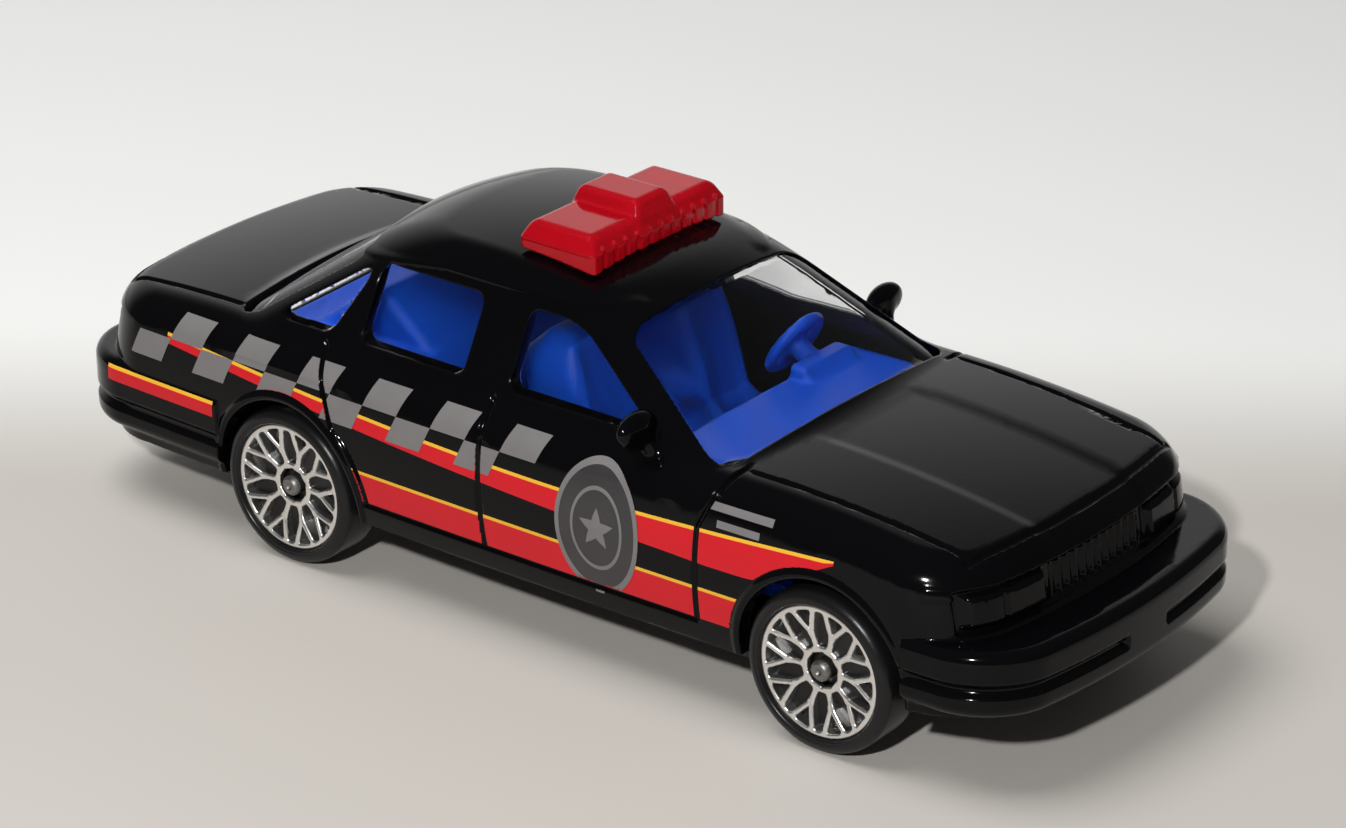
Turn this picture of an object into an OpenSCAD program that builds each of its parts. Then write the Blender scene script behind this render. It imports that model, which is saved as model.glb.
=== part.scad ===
// Toy police car: a four-door saloon about 77 mm long, cast and moulded in separate pieces.
// X points forward, Y to the car's left and Z up. The ground is Z = 0, under the middle of the car.

/* [Overall] */
// Length over both bumpers
body_l = 76.6; // [75:0.2:79]
// Width over the doors
body_w = 28; // [27.4:0.1:29.4]
// Height of the waist, where the cabin stands on the lower body
waist_h = 15.4; // [15.2:0.1:16]
// Height of the roof's crown above the waist
cabin_rise = 7.6; // [7.2:0.1:8]
// Height of the lower edge of the doors
sill_h = 4.4; // [4.1:0.1:4.8]
// Thickness of the cast walls
wall = 1.1; // [0.9:0.05:1.2]

/* [Lower body] */
// Height of the widest line of the doors
side_h = 9.5; // [8.5:0.1:10.5]
// How far the sills draw in under the widest line
sill_tuck = 0.6; // [0.3:0.05:0.9]
// How far the flanks draw in from the widest line to the waist
waist_tuck = 1.3; // [0.9:0.05:1.5]
// How much narrower the car is at its ends, on each side
end_taper = 0.9; // [0.5:0.1:1.2]
// Radius of the corners in plan
corner_r = 4.2; // [3.4:0.1:5]
// How far the corners of the nose lie behind its middle
nose_bow = 1.9; // [1.2:0.1:2.6]
// How far the corners of the tail lie ahead of its middle
tail_bow = 1.4; // [1:0.1:2]
// How far the grille leans back, from the sill to the waist
nose_lean = 1.6; // [1:0.1:2.2]
// How far the tail panel leans forward, from the sill to the waist
tail_lean = 1.1; // [0.6:0.1:1.8]
// How far the hood drops from the windscreen to the nose
hood_drop = 2.5; // [2:0.1:2.9]
// How far the boot lid drops from the rear window to the tail
boot_drop = 1; // [0.7:0.1:1.4]
// How far the hood and the boot lid fall away at the flanks
deck_crown = 0.6; // [0.4:0.05:0.9]
// Width of the rounded shoulder along the top of the flanks
shoulder = 2; // [1.5:0.1:2.4]
// Width of the raised panel along the middle of the hood
bulge_w = 9.2; // [8:0.2:10]
// Height of the raised panel of the hood
bulge_h = 0.2; // [0.1:0.05:0.3]

/* [Bumpers] */
// How far the front bumper stands ahead of the grille
front_bumper_d = 2.3; // [1.8:0.1:2.8]
// How far the rear bumper stands behind the tail panel
rear_bumper_d = 1.3; // [0.9:0.1:1.8]
// Height of the lower edge of both bumpers
bumper_low = 5.1; // [4.9:0.1:5.4]
// Height of the top of the front bumper
front_bumper_top = 9.3; // [8.8:0.1:9.8]
// Height of the top of the rear bumper
rear_bumper_top = 9.9; // [9.4:0.1:10.4]
// How far the bumpers stand out from the flanks
bumper_stand = 0.2; // [0.1:0.05:0.3]
// Width of the groove along each bumper
groove_w = 0.5; // [0.3:0.05:0.7]
// Depth of the groove along each bumper
groove_d = 0.35; // [0.2:0.05:0.5]
// Height of the groove above the bumpers' lower edge
groove_rise = 1.8; // [1.5:0.1:2.1]
// Rounding of the bumpers' edges
bumper_round = 0.35; // [0.2:0.05:0.5]

/* [Mirrors] */
// Distance of the mirrors behind the windscreen's foot
mirror_set = 6.9; // [6.4:0.1:7.4]
// Width of the mirrors across the car
mirror_w = 3.4; // [3:0.1:3.8]
// How far the mirrors reach out from the waist
mirror_out = 1.5; // [1.3:0.1:1.8]
// Height of the mirrors
mirror_h = 2.2; // [1.9:0.1:2.4]
// Thickness of the mirrors along the car
mirror_t = 1.5; // [1.3:0.1:1.8]
// Thickness of the arms that carry the mirrors
mirror_arm = 1.1; // [0.9:0.1:1.3]

/* [Cabin] */
// Distance of the windscreen's foot behind the front axle
windscreen_set = 7.4; // [7:0.1:8.2]
// Distance of the rear window's foot behind the rear axle
rear_window_set = 7.2; // [6.6:0.1:8]
// Slope of the windscreen from level, in degrees
windscreen_rake = 31; // [30:0.5:33]
// Slope of the rear window from level, in degrees
rear_window_rake = 33.5; // [33:0.5:37]
// Width of the cabin at the waist
cabin_w = 23.7; // [23.2:0.1:24.2]
// Lean of the side windows from upright, in degrees
cabin_lean = 28; // [27:0.5:29]
// Radius of the cabin's corners in plan
cabin_corner_r = 3; // [2.4:0.1:3.6]
// How far the sides of the windscreen and of the rear window lie inside their middles
screen_bow = 2.2; // [1.6:0.1:2.6]
// How far the roof falls from its crown to the head of the windscreen
roof_fall = 1; // [0.7:0.05:1.2]
// Distance of the roof's crown behind the head of the windscreen
roof_set = 11.5; // [10:0.1:13]
// How far the roof falls at its sides
roof_crown = 0.6; // [0.4:0.05:0.8]

/* [Windows] */
// Height of the lower edge of the side windows over the waist
glass_low = 0.35; // [0.25:0.05:0.5]
// Height of the upper edge of the side windows under the roof's crown
glass_drop = 2.6; // [2.4:0.05:2.9]
// Height of the heads of the windscreen and the rear window under the roof's crown
head_drop = 1.5; // [1.4:0.05:1.8]
// Width of the pillar between the doors
door_pillar_w = 3.7; // [3:0.1:4.2]
// Width of the pillar between the rear door and the quarter window
rear_pillar_w = 1.9; // [1.6:0.1:2.3]
// Width of the frames around the windscreen and the rear window
screen_frame = 1.1; // [0.9:0.1:1.4]
// Thickness of the clear moulding
glass_t = 0.7; // [0.5:0.05:0.8]
// How far the panes lie under the cast surface
pane_sink = 0.3; // [0.2:0.05:0.45]
// How far the clear moulding reaches below the side windows
glass_lip = 0.6; // [0.4:0.05:0.8]
// Distance of the pillar between the doors behind the windscreen's foot
door_pillar_set = 19.5; // [19:0.1:20]
// Distance of the side windows' front edge behind the windscreen
front_glass_set = 5.6; // [5.2:0.1:6]
// Distance of the quarter window's sloping edge ahead of the rear window
rear_glass_set = 4.8; // [4.4:0.1:5.2]
// Distance of the quarter window's front edge ahead of the rear window's foot
quarter_set = 10.2; // [9.8:0.1:10.6]

/* [Wheels and axles] */
// Distance between the axles, as a share of the length
wheelbase_share = 0.5483; // [0.54:0.0005:0.556]
// Distance of the front axle behind the front bumper, as a share of the length
front_share = 0.1841; // [0.18:0.0005:0.19]
// How far the outer faces of the wheels lie inside the widest line of the doors
wheel_inset = 0.2; // [0:0.05:0.5]
// Diameter of the tyres
tyre_d = 10.4; // [10:0.1:10.6]
// Width of the tyres
tyre_w = 3.5; // [3.2:0.1:3.7]
// Diameter of the bright lace face
lace_d = 8.5; // [8.1:0.1:8.8]
// Thickness of the bright lace face
lace_t = 0.4; // [0.3:0.05:0.5]
// Depth of the dish behind the lace, from the tyre's face
dish_d = 1; // [0.8:0.05:1.2]
// Diameter of the axle wires
axle_d = 1.2; // [1:0.05:1.4]
// Diameter of the formed heads of the axles
head_d = 1.6; // [1.5:0.05:1.8]
// Thickness of the formed heads
head_t = 0.4; // [0.3:0.05:0.5]
// Gap around whatever turns
spin_gap = 0.06; // [0.04:0.01:0.08]
// Gap from a tyre to the edge of its wheel arch
arch_gap = 0.65; // [0.5:0.05:0.9]

/* [Base and rivets] */
// Height of the underside of the base
base_h = 3.6; // [3.3:0.1:3.7]
// Thickness of the base
base_t = 1.3; // [1.1:0.1:1.3]
// Gap between pieces that are put together by hand
fit_gap = 0.12; // [0.08:0.01:0.18]
// Gap between a tyre and the pieces beside it
tyre_gap = 0.5; // [0.4:0.05:0.6]
// Distance of the front rivet behind the front bumper
front_rivet_set = 6.1; // [5.8:0.1:6.5]
// Distance of the rear rivet ahead of the rear bumper
rear_rivet_set = 10; // [8.5:0.1:10.5]
// Diameter of the posts that the rivets go into
post_d = 3.4; // [3:0.1:3.8]
// Diameter of the rivets
rivet_d = 1.5; // [1.3:0.05:1.6]
// Diameter of the rivets' heads
rivet_head_d = 3; // [2.6:0.1:3.2]
// Thickness of the rivets' heads
rivet_head_t = 0.5; // [0.4:0.05:0.6]
// How far the rivets go up into the posts
rivet_bite = 2.4; // [2:0.1:2.8]
// Length of the blocks that hold the axles
block_l = 3; // [2.6:0.1:3.4]
// Width of the blocks that hold the axles
block_w = 2.4; // [2:0.1:2.8]
// Distance of the blocks from the space around the tyres
block_gap = 1; // [0.6:0.1:1.6]
// Rounding of the tyres' edges
tyre_round = 0.6; // [0.4:0.05:0.7]
// Height of the hubs above the bottoms of the dishes
hub_rise = 0.7; // [0.6:0.05:0.75]
// Number of spokes in the lace
spoke_n = 10; // [8:1:12]
// Width of the lace's bars
lace_bar = 0.36; // [0.3:0.02:0.42]
// Width of the lace's rim
lace_rim = 0.42; // [0.36:0.02:0.5]
// Radius at which each spoke forks
fork_r = 2.35; // [2.2:0.05:2.6]
// How far each fork opens, as a share of the way to the next spoke's fork
fork_share = 0.62; // [0.55:0.01:0.9]
// Diameter of the opening in the lace's hub ring
hub_d = 2.3; // [2.1:0.05:2.4]

/* [Interior] */
// Height of the top of the floor
floor_h = 7.6; // [7.4:0.05:7.8]
// Thickness of the floor
floor_t = 0.9; // [0.7:0.05:1]
// Height of the tops of the front seats under the roof's crown
seat_drop = 5.2; // [4.8:0.1:5.8]
// Width of each front seat
seat_w = 5.8; // [5.2:0.1:6.4]
// Distance of the front seats' backs behind the windscreen's foot
seat_set = 17.2; // [16.6:0.1:17.6]
// Distance of the front seats from the middle of the car
seat_y = 5; // [4.6:0.1:5.4]
// Length of the front seats, from their backs to the cushions' front edges
seat_l = 8; // [7.4:0.1:8.4]
// Thickness of the front seats' backs
seat_back_t = 2.6; // [2.2:0.1:3]
// Height of all the cushions
cushion_h = 11.6; // [11:0.1:12]
// Height of the top of the rear bench under the roof's crown
bench_drop = 5.4; // [5:0.1:6]
// Distance of the rear bench's back ahead of the rear window's foot
bench_set = 10.8; // [10.2:0.1:11.2]
// Thickness of the rear bench's back
bench_t = 3; // [2.6:0.1:3.4]
// Length of the rear bench's cushion
bench_l = 6; // [5.4:0.1:6.4]
// Gap between the top of the rear bench and the side windows
bench_gap = 1.1; // [1:0.1:1.6]
// Length of the shelf behind the rear bench
shelf_l = 5.4; // [5:0.1:5.8]
// How far the top of the dash lies below the waist
dash_drop = 1.4; // [1.2:0.1:1.8]
// Gap between the dash and the clear moulding
dash_gap = 0.2; // [0.15:0.05:0.4]
// Length of the top of the dash
dash_l = 3.4; // [3:0.1:3.8]
// Thickness of the dash and of its front wall
dash_t = 1.2; // [1:0.1:1.4]
// Diameter of the steering wheel
steer_d = 4.6; // [4.2:0.1:4.8]
// Thickness of the steering wheel's rim
steer_t = 0.7; // [0.6:0.05:0.8]
// Distance of the steering wheel behind the dash
steer_reach = 3.2; // [3:0.1:3.4]
// Height of the steering wheel's middle above the dash
steer_rise = 1.1; // [0.9:0.1:1.3]
// Lean of the steering column from upright, in degrees
steer_tilt = 60; // [56:1:62]
// Length of the steering column
steer_stem = 4.4; // [4.2:0.1:4.8]
// Height of the hood over the instruments above the dash
hood_rise = 0.8; // [0.6:0.1:1]
// Length of the hood over the instruments
hood_l = 2.4; // [2:0.1:2.6]

/* [Light bar] */
// Width of the light bar across the car
bar_w = 13.2; // [12.6:0.1:13.8]
// Length of the light bar along the car
bar_l = 6; // [5.6:0.1:6.6]
// Height of the two wings
wing_h = 1.5; // [1.3:0.05:1.7]
// Height of the raised middle above the wings
middle_rise = 0.9; // [0.7:0.05:1.1]
// Width of the raised middle at its foot
middle_w = 4.4; // [4:0.1:5]
// Slope of the bar's edges, as a width
bar_bevel = 0.8; // [0.6:0.05:1]
// Distance of the bar's middle behind the windscreen's foot
bar_set = 17.9; // [17:0.1:18.6]
// Diameter of the pegs that go through the roof
peg_d = 1.8; // [1.6:0.05:2]
// Distance between the pegs
peg_pitch = 8; // [7:0.1:8.6]
// Length of the pegs below the bar
peg_l = 2.6; // [2.2:0.1:3]
// Height of the bar's upright foot, below its sloping sides
bar_foot = 0.5; // [0.4:0.05:0.6]

/* [Hidden] */
$fn = 48;

roof_h = waist_h + cabin_rise;
front_x = body_l / 2;
rear_x = -body_l / 2;
wheelbase = body_l * wheelbase_share;
front_axle_x = front_x - body_l * front_share;
rear_axle_x = front_axle_x - wheelbase;
track_w = body_w - 2 * wheel_inset;
axle_h = tyre_d / 2;
arch_r = tyre_d / 2 + arch_gap;
wheel_in = track_w / 2 - tyre_w;
cowl_x = front_axle_x - windscreen_set;
boot_x = rear_axle_x - rear_window_set;
side_glass_low = waist_h + glass_low;
side_glass_top = roof_h - glass_drop;
screen_top = roof_h - head_drop;
base_top = base_h + base_t;
floor_low = floor_h - floor_t;
floor_mid = floor_h - floor_t / 2;
seat_x = cowl_x - seat_set;
seat_h = roof_h - seat_drop;
bench_h = roof_h - bench_drop;
bench_x = boot_x + bench_set;
bar_x = cowl_x - bar_set;
bar_h = roof_h + fit_gap;
dash_h = waist_h - dash_drop;
post_low = base_top + fit_gap;
hall_half = wheel_in - tyre_gap;
block_y = hall_half - block_gap - block_w / 2;
tub_half = body_w / 2 - wall - sill_tuck - 2 * fit_gap;
shelf_h = waist_h - wall;
glass_in = wall + fit_gap + glass_t;
foot_set = arch_r + block_l / 2;
cabin_low = waist_h - shoulder;
screen_reach = 3 * wall;
rivet_slack = 0.02;
lot = 60;

// Counts of points around a loop, and of rings up a form
corner_steps = 5;
side_steps = 14;
end_steps = 6;
loop_n = 4 * (corner_steps + 1) + 2 * (side_steps - 1) + 2 * (end_steps - 1);
blend_steps = 4;
flank_levels = [0, 0.2, 0.4, 0.6, 0.8];
cabin_levels = [0, 0.4, 0.7];
cabin_straight = 0.84;
roof_edge_share = 0.84;
roof_shares = [0.6, 0.36, 0.12];
bulge_edge = 0.5;

function sq(a) = a * a;
function mix(a, b, t) = a + (b - a) * t;
function over(a) = max(0, a);

// Plan loops run anticlockwise, seen from above
function corner_arc(cx, cy, r, start) = [
    for (i = [0 : corner_steps])
        let (a = start + 90 * i / corner_steps)
        [cx + r * cos(a), cy + r * sin(a)]
];
function between(a, b, n) = [for (i = [1 : n - 1]) mix(a, b, i / n)];
function plan_loop(front, rear, half, r) = concat(
    corner_arc(front - r, half - r, r, 0),
    between([front - r, half], [rear + r, half], side_steps),
    corner_arc(rear + r, half - r, r, 90),
    between([rear, half - r], [rear, r - half], end_steps),
    corner_arc(rear + r, r - half, r, 180),
    between([rear + r, -half], [front - r, -half], side_steps),
    corner_arc(front - r, r - half, r, 270),
    between([front, r - half], [front, half - r], end_steps)
);
// Bows the ends of a loop, more towards its corners
function bowed(p, front, rear, half, bow_front, bow_rear) =
    let (mid = (front + rear) / 2, along = (p[0] - mid) / (front - mid), across = sq(p[1] / half))
    [p[0] + (along > 0 ? -bow_front : bow_rear) * across * sq(sq(along)), p[1]];
function tapered(p, half, taper) = [p[0], p[1] * (1 - taper / half * sq(p[0] / front_x))];

// Outer faces of the lower body
function flank(z) =
    body_w / 2
    - sill_tuck * sq(over(side_h - z) / (side_h - sill_h))
    - waist_tuck * sq(over(z - side_h) / (waist_h - side_h));
function lean_share(z) = (z - sill_h) / (waist_h - sill_h);
function nose(z) = front_x - front_bumper_d - nose_lean * lean_share(z);
function tail(z) = rear_x + rear_bumper_d + tail_lean * lean_share(z);
function bulge(x, y) =
    let (inside = (bulge_w / 2 + bulge_edge / 2 - abs(y)) / bulge_edge)
    x < cowl_x ? 0 : bulge_h * min(1, over(inside));
function deck(x, y) =
    waist_h
    - hood_drop * sq(over(x - cowl_x) / (front_x - cowl_x))
    - boot_drop * sq(over(boot_x - x) / (boot_x - rear_x))
    - deck_crown * sq(2 * y / body_w)
    + bulge(x, y);

// One ring of the lower body, drawn in by d, at a share of the height of the flanks
function flank_ring(d, low, share, shrink) = [
    for (p = plan_loop(nose(sill_h), tail(sill_h), body_w / 2, corner_r))
        let (
            bow = bowed(p, nose(sill_h), tail(sill_h), body_w / 2, nose_bow, tail_bow),
            q = tapered(bow, body_w / 2, end_taper),
            z = mix(low, deck(q[0], q[1]) - d, share),
            x = q[0] > 0
                ? q[0] * (nose(z) - d - shrink) / nose(sill_h)
                : q[0] * (tail(z) + d + shrink) / tail(sill_h)
        )
        [x, q[1] * (flank(z) - d - shrink) / (body_w / 2), z]
];
function deck_ring(ring, d, share) = [
    for (p = ring) [p[0], p[1] * share, deck(p[0], p[1] * share) - d]
];

// Outer faces of the cabin
function cabin_half(z) = cabin_w / 2 - (z - waist_h) * tan(cabin_lean);
function windscreen(z) = cowl_x - (z - waist_h) / tan(windscreen_rake);
function rear_window(z) = boot_x + (z - waist_h) / tan(rear_window_rake);
function roof(x, y) =
    roof_h
    - roof_fall * sq((x - windscreen(roof_h) + roof_set) / roof_set)
    - roof_crown * sq(y / cabin_half(roof_h));
function cabin_front(z, d) = windscreen(z) - d / sin(windscreen_rake);
function cabin_rear(z, d) = rear_window(z) + d / sin(rear_window_rake);
function cabin_side(z, d) = cabin_half(z) - d / cos(cabin_lean);
bench_half = min(tub_half - waist_tuck, cabin_side(shelf_h, wall + 2 * fit_gap));
bench_top_half = cabin_side(bench_h, glass_in + bench_gap);
dash_x = cabin_front(dash_h, glass_in) - dash_t / 2 - dash_gap;
dash_edge = dash_x - dash_l;
dash_half = cabin_side(dash_h, glass_in + dash_gap) - cabin_corner_r / 3;
// One ring of the cabin, drawn in by d, at a share of the height up to the roof
function cabin_ring(d, low, share) =
    let (
        level = mix(low, roof_h - d, share),
        front = cabin_front(level, d),
        rear = cabin_rear(level, d),
        half = cabin_side(level, d),
        mid = (front + rear) / 2
    )
    [
        for (p = plan_loop(front, rear, half, min(cabin_corner_r, half / 2)))
            let (
                q = bowed(p, front, rear, half, screen_bow, screen_bow),
                z = level - (roof_h - roof(q[0], q[1])) * share,
                reach = q[0] > mid
                    ? (cabin_front(z, d) - mid) / (front - mid)
                    : (cabin_rear(z, d) - mid) / (rear - mid)
            )
            [mix(mid, q[0], reach), q[1] * cabin_side(z, d) / half, z]
    ];
function roof_ring(ring, d, share) =
    let (mid = (windscreen(roof_h) + rear_window(roof_h)) / 2)
    [
        for (p = ring)
            let (x = mix(mid, p[0], share), y = p[1] * share)
            [x, y, roof(x, y) - d]
    ];

// Rings that round the edge between a side ring and a top ring
function blend(a, b, c, t) = [
    for (i = [0 : loop_n - 1])
        sq(1 - t) * a[i] + 2 * t * (1 - t) * b[i] + sq(t) * c[i]
];
function blends(a, b, c) = [for (k = [0 : blend_steps]) blend(a, b, c, k / blend_steps)];

// Strips join each point of a loop to the point across the middle of the car
front_mid = loop_n - end_steps / 2;
function across(i) = (2 * loop_n - end_steps - i) % loop_n;
function cap_faces(start) = [
    for (k = [0 : loop_n / 2 - 1])
        let (a = (front_mid + k) % loop_n, b = (a + 1) % loop_n, c = across(b), d = across(a))
        each [
            if (b != c) [start + a, start + b, start + c],
            if (a != d) [start + a, start + c, start + d]
        ]
];
function turned(face) = [face[2], face[1], face[0]];

// A closed solid through a stack of rings, with strips across the top and the bottom
module stack(rings) {
    top = len(rings) - 1;
    sides = [
        for (k = [0 : top - 1], i = [0 : loop_n - 1])
            let (j = (i + 1) % loop_n, a = k * loop_n, b = a + loop_n)
            each [[a + i, b + i, b + j], [a + i, b + j, a + j]]
    ];
    caps = concat(cap_faces(0), [for (face = cap_faces(top * loop_n)) turned(face)]);
    polyhedron([for (ring = rings) each ring], concat(sides, caps), convexity = 8);
}

// The lower body drawn in by d, from a level up to the hood and the boot lid
module lower_form(d, low) {
    straight = 1 - shoulder / (waist_h - low);
    edge = flank_ring(d, low, 1, 0);
    inner = deck_ring(flank_ring(d, low, 1, shoulder), d, 1);
    crease = bulge_w / 2 / flank(waist_h);
    shares = [0.75, crease + bulge_edge / body_w, crease - bulge_edge / body_w, 0.12];
    stack(concat(
        [for (t = flank_levels) flank_ring(d, low, t * straight, 0)],
        blends(flank_ring(d, low, straight, 0), edge, inner),
        [for (share = shares) deck_ring(inner, d, share)]
    ));
}

// The cabin drawn in by d, from a level up to the roof
module cabin_form(d, low) {
    side = cabin_ring(d, low, cabin_straight);
    edge = cabin_ring(d, low, 1);
    stack(concat(
        [for (t = cabin_levels) cabin_ring(d, low, t * cabin_straight)],
        blends(side, edge, roof_ring(edge, d, roof_edge_share)),
        [for (share = roof_shares) roof_ring(edge, d, share)]
    ));
}

// A bumper is a band around the plan, with a groove along its middle and rounded edges
module bumper_band(top) {
    groove_h = bumper_low + groove_rise;
    half = body_w / 2 + bumper_stand;
    loop = plan_loop(front_x, rear_x, half, corner_r);
    profile = [
        [bumper_low, 3 * bumper_round], [bumper_low, bumper_round], [bumper_low + bumper_round, 0],
        [groove_h - groove_w, 0], [groove_h - groove_w / 2, groove_d],
        [groove_h + groove_w / 2, groove_d], [groove_h + groove_w, 0],
        [top - bumper_round, 0], [top, bumper_round], [top, 3 * bumper_round]
    ];
    stack([
        for (level = profile)
            [
                for (p = loop)
                    let (
                        q = tapered(bowed(p, front_x, rear_x, half, nose_bow, tail_bow), half, end_taper),
                        inset = level[1]
                    )
                    [q[0] * (1 - inset / front_x), q[1] * (1 - inset / half), level[0]]
            ]
    ]);
}

module bumpers() {
    intersection() {
        bumper_band(front_bumper_top);
        translate([front_axle_x + arch_r, -lot / 2, 0]) cube([lot, lot, lot]);
    }
    intersection() {
        bumper_band(rear_bumper_top);
        translate([rear_axle_x - arch_r - lot, -lot / 2, 0]) cube([lot, lot, lot]);
    }
}

// Each mirror stands on an arm that comes out of the shoulder
module mirrors() {
    out = flank(waist_h) + mirror_out - mirror_w / 2;
    for (side = [-1, 1])
        translate([cowl_x - mirror_set, side * out, waist_h + mirror_h / 2]) {
            scale([mirror_t, mirror_w, mirror_h] / 2) sphere(r = 1, $fn = 24);
            hull() {
                sphere(d = mirror_arm, $fn = 16);
                translate([mirror_arm, -side * shoulder / 2, -mirror_h / 2 - shoulder / 2])
                    sphere(d = mirror_arm, $fn = 16);
            }
        }
}

// Outlines of the windows, drawn in by d, each in the plane of its own glass
module windscreen_outline(d) {
    length = (screen_top - side_glass_low) / sin(windscreen_rake);
    foot = cabin_half(side_glass_low) - screen_frame - d;
    head = cabin_half(screen_top) - screen_frame - d;
    polygon([[-d, foot], [-d, -foot], [d - length, -head], [d - length, head]]);
}
module rear_window_outline(d) {
    length = (screen_top - side_glass_low) / sin(rear_window_rake);
    foot = cabin_half(side_glass_low) - screen_frame - d;
    head = cabin_half(screen_top) - screen_frame - d;
    polygon([[d, -foot], [d, foot], [length - d, head], [length - d, -head]]);
}
// The front edge of the side windows follows the windscreen, and their rear edge the rear window
function glass_front(z) = windscreen(z) - front_glass_set;
function glass_rear(z) = rear_window(z) + rear_glass_set;
module side_window_outlines(d) {
    low = side_glass_low + d;
    top = side_glass_top - d;
    pillar_x = cowl_x - door_pillar_set;
    quarter_x = boot_x + quarter_set;
    quarter_top = waist_h + (quarter_set - rear_glass_set - 3 * d) * tan(rear_window_rake);
    polygon([
        [pillar_x + door_pillar_w / 2 + d, low], [glass_front(low) - d, low],
        [glass_front(top) - d, top], [pillar_x + door_pillar_w / 2 + d, top]
    ]);
    polygon([
        [quarter_x + rear_pillar_w + d, low], [pillar_x - door_pillar_w / 2 - d, low],
        [pillar_x - door_pillar_w / 2 - d, top], [quarter_x + rear_pillar_w + d, top]
    ]);
    polygon([[glass_rear(low) + 2 * d, low], [quarter_x - d, low], [quarter_x - d, quarter_top]]);
}
module window_cuts(d) {
    translate([windscreen(side_glass_low), 0, side_glass_low])
        rotate([0, windscreen_rake, 0])
            linear_extrude(2 * screen_reach, center = true) windscreen_outline(d);
    translate([rear_window(side_glass_low), 0, side_glass_low])
        rotate([0, -rear_window_rake, 0])
            linear_extrude(2 * screen_reach, center = true) rear_window_outline(d);
    rotate([90, 0, 0]) linear_extrude(body_w, center = true) side_window_outlines(d);
}

module wheel_arches() {
    for (x = [front_axle_x, rear_axle_x], side = [-1, 1])
        translate([x, side * (wheel_in - tyre_gap), axle_h])
            rotate([-90 * side, 0, 0])
                cylinder(r = arch_r, h = lot, $fn = 72);
}

module rivet_places() {
    for (x = [front_x - front_rivet_set, rear_x + rear_rivet_set])
        translate([x, 0, 0]) children();
}

module peg_places() {
    for (side = [-1, 1]) translate([bar_x, side * peg_pitch / 2, 0]) children();
}
module peg_holes() {
    peg_places() translate([0, 0, waist_h]) cylinder(d = peg_d + 2 * fit_gap, h = lot);
}

module body_shell() {
    color("black")
        difference() {
            resize([body_l, 0, 0])
                difference() {
                    union() {
                        lower_form(0, sill_h);
                        cabin_form(0, cabin_low);
                        bumpers();
                        mirrors();
                    }
                    difference() {
                        union() {
                            lower_form(wall, sill_h - wall);
                            cabin_form(wall, cabin_low);
                        }
                        rivet_places() translate([0, 0, post_low]) cylinder(d = post_d, h = lot);
                    }
                    window_cuts(0);
                    wheel_arches();
                    peg_holes();
                }
            rivet_places()
                translate([0, 0, post_low - fit_gap]) cylinder(d = rivet_d, h = rivet_bite + fit_gap);
        }
}

// The outline of the base fits inside the sills
module base_outline() {
    polygon([for (p = flank_ring(wall + 2 * fit_gap, base_top, 0, 0)) [p[0], p[1]]]);
}
module axle_bore() {
    rotate([90, 0, 0]) cylinder(d = axle_d + 2 * spin_gap, h = lot, center = true);
}
// A pair of blocks beside an axle, from one level up to another, with the axle's bore
module axle_blocks(x, low, top) {
    for (side = [-1, 1])
        translate([x - block_l / 2, side * block_y - block_w / 2, low])
            cube([block_l, block_w, top - low]);
}

module chassis_base() {
    color("dimgray")
        difference() {
            union() {
                translate([0, 0, base_h]) linear_extrude(base_t) base_outline();
                for (x = [front_axle_x, rear_axle_x]) axle_blocks(x, base_h, axle_h);
            }
            for (x = [front_axle_x, rear_axle_x], side = [-1, 1])
                translate([x - arch_r, side > 0 ? wheel_in - tyre_gap : -lot, 0])
                    cube([2 * arch_r, lot - wheel_in + tyre_gap, lot]);
            for (x = [front_axle_x, rear_axle_x]) translate([x, 0, axle_h]) axle_bore();
            rivet_places() {
                cylinder(d = rivet_d + 2 * fit_gap, h = lot);
                cylinder(d = rivet_head_d + 2 * fit_gap, h = base_h + rivet_head_t);
            }
        }
}

module base_rivets() {
    color("silver")
        rivet_places() translate([0, 0, base_h]) {
            cylinder(d = rivet_head_d, h = rivet_head_t);
            cylinder(d = rivet_d - 2 * rivet_slack, h = post_low + rivet_bite - base_h);
        }
}

// A side outline carried across the car from one side to another
module across_car(from, to) {
    translate([0, to, 0]) rotate([90, 0, 0]) linear_extrude(to - from) children();
}

module front_seats() {
    for (side = [-1, 1])
        across_car(side * seat_y - seat_w / 2, side * seat_y + seat_w / 2)
            polygon([
                [seat_x - seat_back_t / 2, floor_mid], [seat_x - seat_back_t, seat_h - seat_back_t / 2],
                [seat_x - seat_back_t / 2, seat_h], [seat_x + seat_back_t / 2, seat_h],
                [seat_x + seat_back_t * 1.5, cushion_h + seat_back_t / 2], [seat_x + seat_l, cushion_h],
                [seat_x + seat_l, floor_mid]
            ]);
}
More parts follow.
